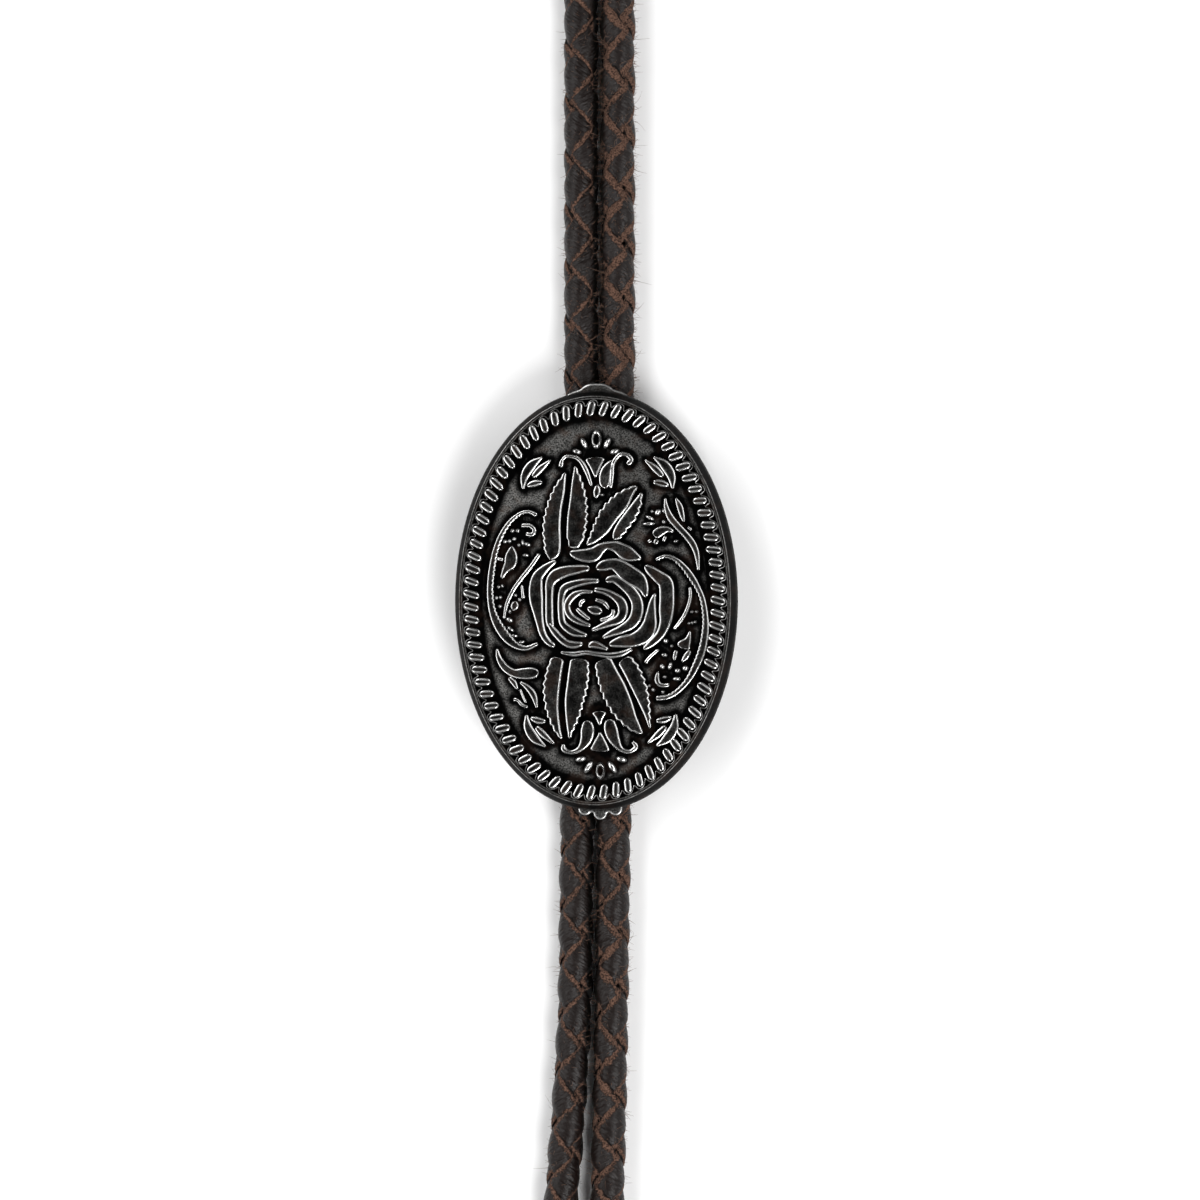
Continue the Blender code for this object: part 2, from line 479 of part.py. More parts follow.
def rope_strand(place, out):
    """One slanted strand of the rope border."""
    turn = -ROPE_SLANT
    spin = np.array([[math.cos(turn), math.sin(turn)], [-math.sin(turn), math.cos(turn)]])
    lean = out @ spin
    side = np.array([-lean[1], lean[0]])
    shares = np.array([[-0.5, 0.8], [0.5, 0.8]])
    middle = place + np.outer(shares[:, 0] * ROPE_WIDTH, lean)
    half = np.outer(shares[:, 1] * ROPE_THICKNESS / 2, side)
    return wall_stack(middle + half, middle - half, half * 0.45, ROPE_RISE)


def mirrored(rows, corner):
    across, along, shift, lift = corner
    turned = [(u * across + shift, v * along + lift, w) for u, v, w in rows]
    return turned


def ornament_shapes():
    """Every raised shape of the slide's face, each as its own points and faces."""
    shapes = []
    for table, fullness in ((ROSE, ROSE_FULLNESS), (TULIPS, SPRAY_FULLNESS), (SCROLLS, 1.0)):
        shapes += [stroke(rows, fullness=fullness) for rows in table.values()]
    for table, side in ((LEAF_LEFT_HALVES, 1), (LEAF_RIGHT_HALVES, -1),
                        (LEAF_LOWER_RIGHT_HALVES, -1), (LEAF_LOWER_LEFT_HALVES, 1)):
        shapes += [stroke(rows, tooth_side=side, fullness=LEAF_FULLNESS)
                   for rows in table.values()]
    for corner in CORNERS:
        shapes += [stroke(mirrored(rows, corner), fullness=SPRAY_FULLNESS)
                   for rows in CORNER_SPRIG.values()]
    shapes += [drop(*row) for row in DROPS]
    shapes += [rope_strand(place, out) for place, out in zip(*rope_places())]
    return shapes


def joined_shapes(name, shapes):
    points, faces, start = [], [], 0
    for shape_points, shape_faces in shapes:
        points.append(shape_points)
        faces += [[start + k for k in face] for face in shape_faces]
        start += len(shape_points)
    return solid(name, np.vstack(points), faces)


def make_slide(material):
    plate = slide_plate(material)
    join_with(plate, joined_shapes("ornament_guide", ornament_shapes()))


def arc(centre, radius, start, end, steps):
    angle = np.linspace(start, end, steps)
    return np.column_stack([centre[0] + radius * np.cos(angle), centre[1] + radius * np.sin(angle)])


def extruded(name, outline, axis, low, high, material=None):
    """A prism of a closed outline: across and up run along Y, across and along run up."""
    outline = np.array(outline)
    size = len(outline)
    ends = []
    for level in (low, high):
        depth = np.full(size, level)
        if axis == "Y":
            ends.append(np.column_stack([outline[:, 0], depth, outline[:, 1]]))
        else:
            ends.append(np.column_stack([outline, depth]))
    faces = [list(range(size))[::-1], list(range(size, 2 * size))]
    for k in range(size):
        after = (k + 1) % size
        faces.append([k, after, size + after, size + k])
    return solid(name, np.vstack(ends), faces, material)


def clip_section():
    """The bent strip that goes over both cords and round their outer sides to the surface."""
    centre = (CLIP_CENTRE, CORD_Z)
    floor_angle = math.asin(min(1.0, CORD_Z / CLIP_OUTER))
    inner = arc(centre, CLIP_INNER, math.pi / 2, -CLIP_WRAP, ARC_STEPS + 2)
    foot = [(inner[-1][0], 0.0)]
    outer = arc(centre, CLIP_OUTER, -floor_angle, math.pi / 2, ARC_STEPS + 2)
    right = np.vstack([inner, foot, outer])
    left = right[::-1] * (-1, 1)
    return np.vstack([right, left])


def tab_outline():
    """The clip's flat middle: its end above the slide has one hump, the one below three lobes."""
    across = np.linspace(-CLIP_TAB_WIDTH / 2, CLIP_TAB_WIDTH / 2, 33)
    brink = HALF_LENGTH * np.sqrt(1 - (across / HALF_WIDTH) ** 2)
    hump = np.array(CLIP_HUMP) * (CLIP_TAB_WIDTH / 2, CLIP_HUMP_REACH)
    upper = brink + np.interp(np.abs(across), hump[:, 0], hump[:, 1])
    valley = HALF_LENGTH + CLIP_TAB_REACH - CLIP_LOBE_RADIUS
    lower = np.where(np.abs(across) < CLIP_LOBE_PITCH, valley, brink - CLIP_TAB_TUCK)
    for lobe in (-1, 0, 1):
        tip = HALF_LENGTH + CLIP_TAB_REACH - abs(lobe) * CLIP_LOBE_DROP
        off = 1 - ((across - lobe * CLIP_LOBE_PITCH) / CLIP_LOBE_RADIUS) ** 2
        bump = tip - CLIP_LOBE_RADIUS + CLIP_LOBE_RADIUS * np.sqrt(np.clip(off, 0, None))
        lower = np.where(off > 0, np.maximum(lower, bump), lower)
    return np.vstack([np.column_stack([across, upper]), np.column_stack([-across, -lower])])


def make_clip(material):
    half = CLIP_GRIP_LENGTH / 2
    clip = extruded("slide_clip", clip_section(), "Y", -half, half, material)
    inset = CLIP_THICKNESS * 0.06
    low = CLIP_TOP - CLIP_THICKNESS + inset
    tabs = extruded("clip_tab_guide", tab_outline(), "Z", low, CLIP_TOP - inset)
    join_with(clip, tabs)


def smooth_route(route):
    """A dense smooth curve through the route's points, with tangents set by their spacing."""
    points = np.array(route, float)
    chord = np.linalg.norm(np.diff(points, axis=0), axis=1)
    run = np.concatenate([[0.0], np.cumsum(chord)])
    tangent = np.gradient(points, run, axis=0)
    out = []
    for k in range(len(points) - 1):
        share = np.linspace(0, 1, 40, endpoint=False)[:, None]
        square, cube = share ** 2, share ** 3
        out.append((2 * cube - 3 * square + 1) * points[k] + (3 * square - 2 * cube) * points[k + 1]
                   + chord[k] * ((cube - 2 * square + share) * tangent[k]
                                 + (cube - square) * tangent[k + 1]))
    return np.vstack(out + [points[-1:]])


def even_points(curve, step):
    """Points at an even spacing of about step along a dense curve."""
    run = np.concatenate([[0.0], np.cumsum(np.linalg.norm(np.diff(curve, axis=0), axis=1))])
    count = max(2, round(run[-1] / step) + 1)
    at = np.linspace(0, run[-1], count)
    return np.column_stack([np.interp(at, run, curve[:, k]) for k in range(3)])


def make_cord(name, route, material):
    """A round tube on the smooth curve through the route's points, closed at both ends."""
    points = even_points(smooth_route(route), CORD_STEP)
    curve = bpy.data.curves.new(name, "CURVE")
    curve.dimensions = "3D"
    curve.bevel_depth = CORD_RADIUS
    curve.bevel_resolution = 3
    curve.use_fill_caps = True
    spline = curve.splines.new("POLY")
    spline.points.add(len(points) - 1)
    for place, point in zip(spline.points, points):
        place.co = (point[0], point[1], point[2] + CORD_Z, 1.0)
    curve.materials.append(material)
    bpy.context.collection.objects.link(bpy.data.objects.new(name, curve))


def make_tip(name, route, material):
    """A turned metal tip with a socket for the cord's end and a small knob at its far end."""
    end, before = np.array(route[-1]), np.array(route[-2])
    axis = (end - before) / np.linalg.norm(end - before)
    mouth = end + (0, 0, CORD_Z) - axis * (TIP_SOCKET - GAP)
    bore = CORD_RADIUS + GAP
    collar = bore + TIP_WALL
    knob = TIP_END_DIAMETER / 2
    profile = [
        (TIP_SOCKET, 0.0), (TIP_SOCKET, bore), (0.0, bore), (0.0, collar - TIP_WALL * 0.4),
        (TIP_WALL * 0.4, collar), (TIP_COLLAR, collar), (TIP_COLLAR * 1.2, collar - TIP_WALL * 0.4),
        (TIP_SOCKET + TIP_COLLAR, collar - TIP_WALL * 0.5), (TIP_LENGTH * 0.72, knob * 1.15),
        (TIP_LENGTH - knob * 2.4, knob * 0.72), (TIP_LENGTH - knob * 1.6, knob * 0.95),
        (TIP_LENGTH - knob * 0.9, knob), (TIP_LENGTH - knob * 0.25, knob * 0.6), (TIP_LENGTH, 0.0),
    ]
    side = np.cross(axis, (0, 0, 1.0))
    side /= np.linalg.norm(side)
    up = np.cross(side, axis)
    angle = np.arange(TIP_SIDES) * 2 * math.pi / TIP_SIDES
    round_way = np.outer(np.cos(angle), side) + np.outer(np.sin(angle), up)
    points = [mouth + axis * profile[0][0]]
    points += [mouth + axis * far + round_way[k] * radius
               for far, radius in profile[1:-1] for k in range(TIP_SIDES)]
    points.append(mouth + axis * profile[-1][0])
    rings = len(profile) - 2
    faces = []
    for k in range(TIP_SIDES):
        after = (k + 1) % TIP_SIDES
        faces.append([0, 1 + after, 1 + k])
        for ring in range(rings - 1):
            low = 1 + ring * TIP_SIDES
            faces.append([low + k, low + after, low + TIP_SIDES + after, low + TIP_SIDES + k])
        last = 1 + (rings - 1) * TIP_SIDES
        faces.append([last + k, last + after, len(points) - 1])
    tip = solid(name, points, faces, material)
    tip.data.shade_smooth()
    tip.data.set_sharp_from_angle(angle=math.radians(35))


def main():
    clear_scene()
    antique_silver = finish("antique_silver", (0.09, 0.085, 0.08), 0.3, 1.0)
    plated_steel = finish("plated_steel", (0.45, 0.44, 0.42), 0.3, 1.0)
    leather = finish("brown_leather", (0.035, 0.026, 0.024), 0.5, 0.0)
    make_slide(antique_silver)
    make_clip(plated_steel)
    make_cord("cord_loop", LOOP_ROUTE, leather)
    make_cord("cord_end_left", LEFT_ROUTE, leather)
    make_cord("cord_end_right", RIGHT_ROUTE, leather)
    make_tip("tip_left", LEFT_ROUTE, plated_steel)
    make_tip("tip_right", RIGHT_ROUTE, plated_steel)


main()
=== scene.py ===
"""Bolo tie lying face up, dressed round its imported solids.

Metres, +Z up, +Y along the cords towards the neck loop. The cast slide, its back clip, the
braided leather cord and the two metal tips are each worked out here from a few sizes.
"""

import math

import bpy
import numpy as np
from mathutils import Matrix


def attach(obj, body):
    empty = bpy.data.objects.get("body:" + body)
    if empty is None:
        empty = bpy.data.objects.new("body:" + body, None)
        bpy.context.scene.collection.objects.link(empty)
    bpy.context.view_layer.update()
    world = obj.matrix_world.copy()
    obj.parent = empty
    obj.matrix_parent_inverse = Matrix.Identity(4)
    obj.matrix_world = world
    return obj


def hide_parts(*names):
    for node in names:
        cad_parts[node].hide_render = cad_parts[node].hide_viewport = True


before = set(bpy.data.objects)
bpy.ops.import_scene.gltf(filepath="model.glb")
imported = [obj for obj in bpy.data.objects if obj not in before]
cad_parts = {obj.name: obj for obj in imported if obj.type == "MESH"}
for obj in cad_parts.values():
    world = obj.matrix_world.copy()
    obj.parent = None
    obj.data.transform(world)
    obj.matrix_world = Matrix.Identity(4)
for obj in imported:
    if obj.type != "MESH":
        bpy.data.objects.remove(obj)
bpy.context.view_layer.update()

bl_info = {
    "name": "Bolo tie",
    "version": (1, 0, 0),
    "blender": (4, 5, 0),
    "location": "3D View > Sidebar > Bolo tie",
    "description": "Dresses a bolo tie: cast oval slide, back clip, braided cord and tips",
    "category": "Object",
}

MM = 0.001

# Sizes, most of them shared with the solids
SLIDE_WIDTH = 0.0392
SLIDE_LENGTH = 0.0578
EDGE_THICKNESS = 0.0024
EDGE_FLARE = 0.0008
BACK_CHAMFER = 0.0003
RIM_WIDTH = 0.0005
RIM_RISE = 0.0005
RIM_STEP = 0.00015
ROPE_WIDTH = 0.0020
ROPE_PITCH = 0.00175
ROPE_MARGIN = 0.00025
ROPE_SLANT = math.radians(17.0)
SWAY = 0.00038
BRAID_RADIUS = 0.00254
DOME_RISE = 0.0013
RELIEF_ROOT = 0.0004
ORNAMENT_SHIFT = 0.053
ROSE_FULLNESS = 1.45
LEAF_FULLNESS = 1.12
SPRAY_FULLNESS = 1.2
CORD_DIAMETER = 0.0048
CORD_REST = 0.00005
TIP_LENGTH = 0.057
TIP_WALL = 0.0005
TIP_SOCKET = 0.0125
TIP_COLLAR = 0.0018
TIP_END_DIAMETER = 0.0036
CLIP_THICKNESS = 0.0009
CLIP_GRIP_LENGTH = 0.022
CLIP_TAB_WIDTH = 0.0096
CLIP_TAB_REACH = 0.00135
CLIP_HUMP_REACH = 0.00105
CLIP_TAB_TUCK = 0.0006
CLIP_LOBE_RADIUS = 0.00096
CLIP_LOBE_PITCH = 0.00212
CLIP_LOBE_DROP = 0.0006
CLIP_LOBE_SHIFT = 0.0005
CLIP_WRAP = math.radians(50.0)
GAP = 0.0003

# Sizes of the fine forms, which the solids leave out
STROKE_CAP = (0.00013, 0.00035)
STROKE_LEAST_HALF = 0.00009
STROKE_FOOT = 0.00007
STROKE_SHOULDER = 0.00014
STROKE_DARK_FROM = 0.0004
TOOTH_PITCH = 0.00105
TOOTH_DEPTH = 0.0003
TOOTH_CREST = 0.72
BEAD_PITCH = 0.00062
BEAD_DEPTH = 0.00016
SCROLL_FULLNESS = 1.15
SCROLL_ROUND = 0.00014
DROP_SHARE = 0.8
BAR_ROUND = 0.0002
RIDGE_RADIUS = 0.00009
RIDGE_OUT = 0.00124
RIDGE_DIP = 0.0008
RIDGE_DIP_WIDTH = 0.19
RIDGE_LIFT = 0.00035
RECESS_NEAR = 0.0002
RECESS_FAR = 0.0013
TAB_ROUND = 0.00022
# Painted shade on the cords' facing sides: full within the near distance, none past the far one.
GAP_SHADE_NEAR = 0.0005
GAP_SHADE_FAR = 0.0011
FRAY_CHANGE = 0.4
SEEN_STEP = 0.0003
HIDDEN_STEP = 0.0007
HAIR_RADIUS = 0.00004
SEEN_END = (0.02, 0.14)
HAIRY_END = (0.02, 0.081)
CORDS_PART = 0.23
LACE_ROUND = 0.78
LACE_RAGGED = 0.00006
CORE_SHARE = 0.42
LACE_LOWEST = 0.00003
HAIR_LOWEST = 0.00006

# The hump's edge: a share of the tab's half width, and of the hump's reach past the slide.
CLIP_HUMP = [(0.0, 1.0), (0.22, 0.97), (0.38, 0.72), (0.5, 0.42), (0.75, 0.28), (0.9, 0.05),
             (1.0, -0.5)]

# The cord's route points, across, along and up from the cord's own height, in metres.
LOOP_ROUTE = [
    (-0.00255, 0.00015, 0.0), (-0.00255, 0.040, 0.0), (-0.00255, 0.080, 0.0),
    (-0.00255, 0.120, 0.0), (-0.00255, 0.160, 0.0), (-0.00255, 0.200, 0.0),
    (-0.00255, 0.224, 0.0), (-0.0031, 0.236, 0.0), (-0.0051, 0.247, 0.0),
    (-0.0087, 0.258, 0.0), (-0.0129, 0.268, 0.0), (-0.0159, 0.278, 0.0),
    (-0.0168, 0.2885, 0.0), (-0.0146, 0.2975, 0.0), (-0.0086, 0.3034, 0.0),
    (0.0, 0.305, 0.0), (0.0086, 0.3034, 0.0), (0.0146, 0.2975, 0.0),
    (0.0168, 0.2885, 0.0), (0.0159, 0.278, 0.0), (0.0129, 0.268, 0.0),
    (0.0087, 0.258, 0.0), (0.0051, 0.247, 0.0), (0.0031, 0.236, 0.0),
    (0.00255, 0.224, 0.0), (0.00255, 0.200, 0.0), (0.00255, 0.160, 0.0),
    (0.00255, 0.120, 0.0), (0.00255, 0.080, 0.0), (0.00255, 0.040, 0.0),
    (0.00255, 0.00015, 0.0),
]
LEFT_ROUTE = [
    (-0.00255, -0.00015, 0.0), (-0.00255, -0.006, 0.0), (-0.00255, -0.012, 0.0),
    (-0.00262, -0.017, 0.0), (-0.00282, -0.023, 0.0), (-0.00305, -0.0295, 0.0),
    (-0.00325, -0.042, 0.0), (-0.00345, -0.056, 0.0), (-0.0042, -0.069, 0.0),
    (-0.0053, -0.0825, 0.0), (-0.0064, -0.095, 0.0001), (-0.00745, -0.106, 0.0004),
    (-0.00845, -0.116, 0.0007), (-0.0092, -0.1235, 0.0008), (-0.00974, -0.1295, 0.0008),
    (-0.01028, -0.1355, 0.0008),
]
RIGHT_ROUTE = [
    (0.00255, -0.00015, 0.0), (0.00255, -0.006, 0.0), (0.00255, -0.012, 0.0),
    (0.0025, -0.017, 0.0), (0.0023, -0.023, 0.0), (0.00205, -0.0295, 0.0),
    (0.00185, -0.042, 0.0), (0.00165, -0.056, 0.0), (0.0014, -0.069, 0.0),
    (0.0011, -0.0825, 0.0), (0.00085, -0.095, 0.0001), (0.0006, -0.106, 0.0004),
    (0.0004, -0.116, 0.0007), (0.00025, -0.1235, 0.0008), (0.00013, -0.1295, 0.0008),
    (0.00001, -0.1355, 0.0008),
]

# Raised ornament of the field. Each stroke has a row a section: across and along are
# shares of the field's half width and half length, wide is a share of its half width.
ROSE = {
    "top": [
        (-0.26, 0.262, 0.03), (-0.17, 0.249, 0.07), (-0.06, 0.25, 0.09), (0.015, 0.285, 0.065),
        (0.07, 0.299, 0.05), (0.15, 0.292, 0.07), (0.25, 0.255, 0.09), (0.365, 0.228, 0.02)],
    "upper_right": [
        (-0.027, 0.173, 0.03), (0.034, 0.19, 0.065), (0.109, 0.199, 0.07), (0.174, 0.185, 0.09),
        (0.258, 0.144, 0.11), (0.342, 0.108, 0.1), (0.388, 0.065, 0.06), (0.405, 0.018, 0.025)],
    "upper_left": [
        (-0.085, 0.178, 0.035), (-0.19, 0.17, 0.055), (-0.3, 0.158, 0.07), (-0.385, 0.135, 0.075),
        (-0.43, 0.095, 0.06), (-0.438, 0.03, 0.05), (-0.438, -0.05, 0.05), (-0.435, -0.11, 0.05),
        (-0.42, -0.15, 0.04)],
    "lower_left": [
        (-0.445, -0.125, 0.025), (-0.405, -0.16, 0.04), (-0.35, -0.2, 0.045),
        (-0.285, -0.233, 0.045), (-0.22, -0.242, 0.045), (-0.145, -0.236, 0.025)],
    "left": [
        (-0.38, 0.217, 0.025), (-0.47, 0.178, 0.05), (-0.54, 0.13, 0.07), (-0.558, 0.07, 0.085),
        (-0.553, 0.0, 0.085), (-0.537, -0.065, 0.065), (-0.52, -0.125, 0.05),
        (-0.493, -0.185, 0.045), (-0.445, -0.228, 0.04), (-0.39, -0.25, 0.03)],
    "lower_right": [
        (0.487, 0.04, 0.015), (0.463, -0.005, 0.04), (0.449, -0.075, 0.065), (0.435, -0.137, 0.09),
        (0.39, -0.185, 0.1), (0.3, -0.215, 0.085), (0.19, -0.225, 0.07), (0.085, -0.24, 0.03)],
    "right": [
        (0.395, 0.19, 0.025), (0.44, 0.167, 0.055), (0.51, 0.132, 0.075), (0.575, 0.095, 0.09),
        (0.587, 0.03, 0.09), (0.583, -0.05, 0.09), (0.572, -0.12, 0.07), (0.53, -0.183, 0.055),
        (0.455, -0.232, 0.045), (0.385, -0.265, 0.025)],
    "third_left": [
        (0.0, 0.108, 0.028), (-0.115, 0.104, 0.04), (-0.23, 0.088, 0.048), (-0.31, 0.062, 0.05),
        (-0.335, 0.0, 0.042), (-0.333, -0.075, 0.042), (-0.32, -0.122, 0.045),
        (-0.275, -0.152, 0.05), (-0.21, -0.175, 0.05), (-0.105, -0.191, 0.022)],
    "third_right": [
        (0.055, 0.108, 0.035), (0.13, 0.117, 0.05), (0.212, 0.085, 0.06), (0.285, 0.042, 0.068),
        (0.328, -0.01, 0.072), (0.328, -0.067, 0.075), (0.286, -0.12, 0.07), (0.2, -0.155, 0.055),
        (0.11, -0.178, 0.04), (0.028, -0.203, 0.022)],
    "fourth_right": [
        (-0.045, 0.06, 0.03), (0.045, 0.05, 0.038), (0.12, 0.028, 0.045), (0.19, -0.01, 0.06),
        (0.207, -0.06, 0.062), (0.17, -0.102, 0.055), (0.07, -0.128, 0.042),
        (-0.065, -0.163, 0.022)],
    "fourth_left": [
        (-0.055, 0.047, 0.018), (-0.15, 0.047, 0.028), (-0.225, 0.027, 0.042),
        (-0.277, -0.015, 0.042), (-0.277, -0.055, 0.042), (-0.24, -0.09, 0.042),
        (-0.17, -0.117, 0.038), (-0.075, -0.138, 0.02)],
    "fifth_upper_left": [(-0.122, 0.004, 0.02), (-0.158, -0.01, 0.024), (-0.167, -0.037, 0.016)],
    "fifth_lower_left": [(-0.2, -0.043, 0.022), (-0.153, -0.07, 0.028), (-0.083, -0.105, 0.022)],
    "fifth_upper_right": [(-0.035, 0.006, 0.02), (0.043, -0.012, 0.026), (0.085, -0.046, 0.018)],
    "fifth_lower_right": [
        (0.122, -0.048, 0.02), (0.118, -0.075, 0.026), (0.08, -0.095, 0.026), (0.006, -0.108, 0.02)],
    "bud": [
        (-0.105, -0.04, 0.02), (-0.06, -0.05, 0.05), (-0.02, -0.055, 0.055), (0.027, -0.06, 0.03)],
    "under_sliver": [(-0.097, -0.252, 0.018), (-0.04, -0.24, 0.045), (0.077, -0.266, 0.018)],
    "lowest": [
        (-0.34, -0.284, 0.015), (-0.227, -0.292, 0.03), (-0.115, -0.284, 0.028),
        (-0.022, -0.292, 0.028), (0.09, -0.299, 0.035), (0.192, -0.29, 0.035),
        (0.285, -0.264, 0.02)],
}
# Leaf halves run from the base to the tip. Their outer edge is toothed, on the side that
# lies to the left (1) or right (-1) of that way.
LEAVES = {
    "upper_left_outer": [
        (-0.428, 0.222, 0.03), (-0.41, 0.262, 0.115), (-0.409, 0.32, 0.13), (-0.415, 0.4, 0.135),
        (-0.396, 0.5, 0.118), (-0.353, 0.6, 0.09), (-0.3, 0.7, 0.015)],
    "upper_right_outer": [
        (-0.11, 0.303, 0.02), (-0.053, 0.335, 0.07), (0.019, 0.395, 0.125), (0.087, 0.466, 0.145),
        (0.188, 0.54, 0.135), (0.27, 0.595, 0.07), (0.325, 0.622, 0.025)],
    "upper_left_inner": [
        (-0.262, 0.292, 0.03), (-0.222, 0.325, 0.12), (-0.207, 0.385, 0.145),
        (-0.198, 0.455, 0.152), (-0.191, 0.55, 0.13), (-0.203, 0.65, 0.08), (-0.217, 0.735, 0.012)],
    "upper_right_inner": [
        (0.125, 0.333, 0.03), (0.155, 0.362, 0.075), (0.2, 0.408, 0.09), (0.266, 0.465, 0.092),
        (0.325, 0.53, 0.065), (0.365, 0.59, 0.015)],
    "lower_left_outer": [
        (-0.36, -0.312, 0.1), (-0.387, -0.374, 0.115), (-0.415, -0.468, 0.125),
        (-0.417, -0.562, 0.105), (-0.399, -0.637, 0.08), (-0.369, -0.706, 0.05),
        (-0.332, -0.758, 0.01)],
    "lower_right_inner": [
        (0.03, -0.322, 0.13), (0.075, -0.405, 0.165), (0.128, -0.485, 0.19),
        (0.196, -0.578, 0.175), (0.265, -0.652, 0.12), (0.326, -0.7, 0.07), (0.375, -0.726, 0.012)],
    "lower_left_inner": [
        (-0.175, -0.318, 0.14), (-0.184, -0.393, 0.16), (-0.2, -0.468, 0.16),
        (-0.224, -0.543, 0.145), (-0.239, -0.619, 0.115), (-0.256, -0.687, 0.065),
        (-0.268, -0.755, 0.012)],
    "lower_right_outer": [
        (0.21, -0.318, 0.11), (0.278, -0.384, 0.125), (0.338, -0.468, 0.115),
        (0.38, -0.547, 0.085), (0.412, -0.625, 0.045), (0.436, -0.7, 0.01)],
}
TOOTH_SIDES = (1, 1, -1, -1, -1, -1, 1, 1)
TULIPS = {
    "top_left_curl": [
        (-0.343, 0.729, 0.045), (-0.329, 0.768, 0.025), (-0.285, 0.789, 0.025),
        (-0.188, 0.774, 0.028), (-0.121, 0.714, 0.035), (-0.068, 0.625, 0.02)],
    "top_middle": [(-0.043, 0.783, 0.16), (-0.039, 0.73, 0.085), (-0.037, 0.672, 0.015)],
    "top_right_petal": [
        (0.11, 0.765, 0.03), (0.058, 0.71, 0.08), (0.045, 0.65, 0.085), (0.055, 0.612, 0.04)],
    "top_right_curl": [
        (0.098, 0.612, 0.02), (0.108, 0.68, 0.028), (0.115, 0.745, 0.03), (0.169, 0.795, 0.03),
        (0.232, 0.797, 0.03), (0.275, 0.768, 0.035), (0.237, 0.743, 0.04)],
    "top_calyx": [(-0.019, 0.632, 0.025), (-0.024, 0.593, 0.055), (-0.034, 0.559, 0.02)],
    "low_calyx": [(-0.003, -0.605, 0.13), (-0.001, -0.638, 0.065), (0.001, -0.682, 0.015)],
    "low_left_petal": [
        (-0.111, -0.656, 0.06), (-0.106, -0.706, 0.1), (-0.123, -0.763, 0.085),
        (-0.176, -0.811, 0.045), (-0.251, -0.83, 0.03), (-0.316, -0.815, 0.04),
        (-0.318, -0.785, 0.025)],
    "low_right_petal": [
        (0.083, -0.65, 0.07), (0.098, -0.706, 0.1), (0.13, -0.763, 0.08), (0.183, -0.811, 0.04),
        (0.258, -0.825, 0.03), (0.315, -0.8, 0.035), (0.285, -0.77, 0.025)],
    "low_middle": [(0.003, -0.718, 0.012), (0.003, -0.769, 0.085), (0.0, -0.825, 0.16)],
}
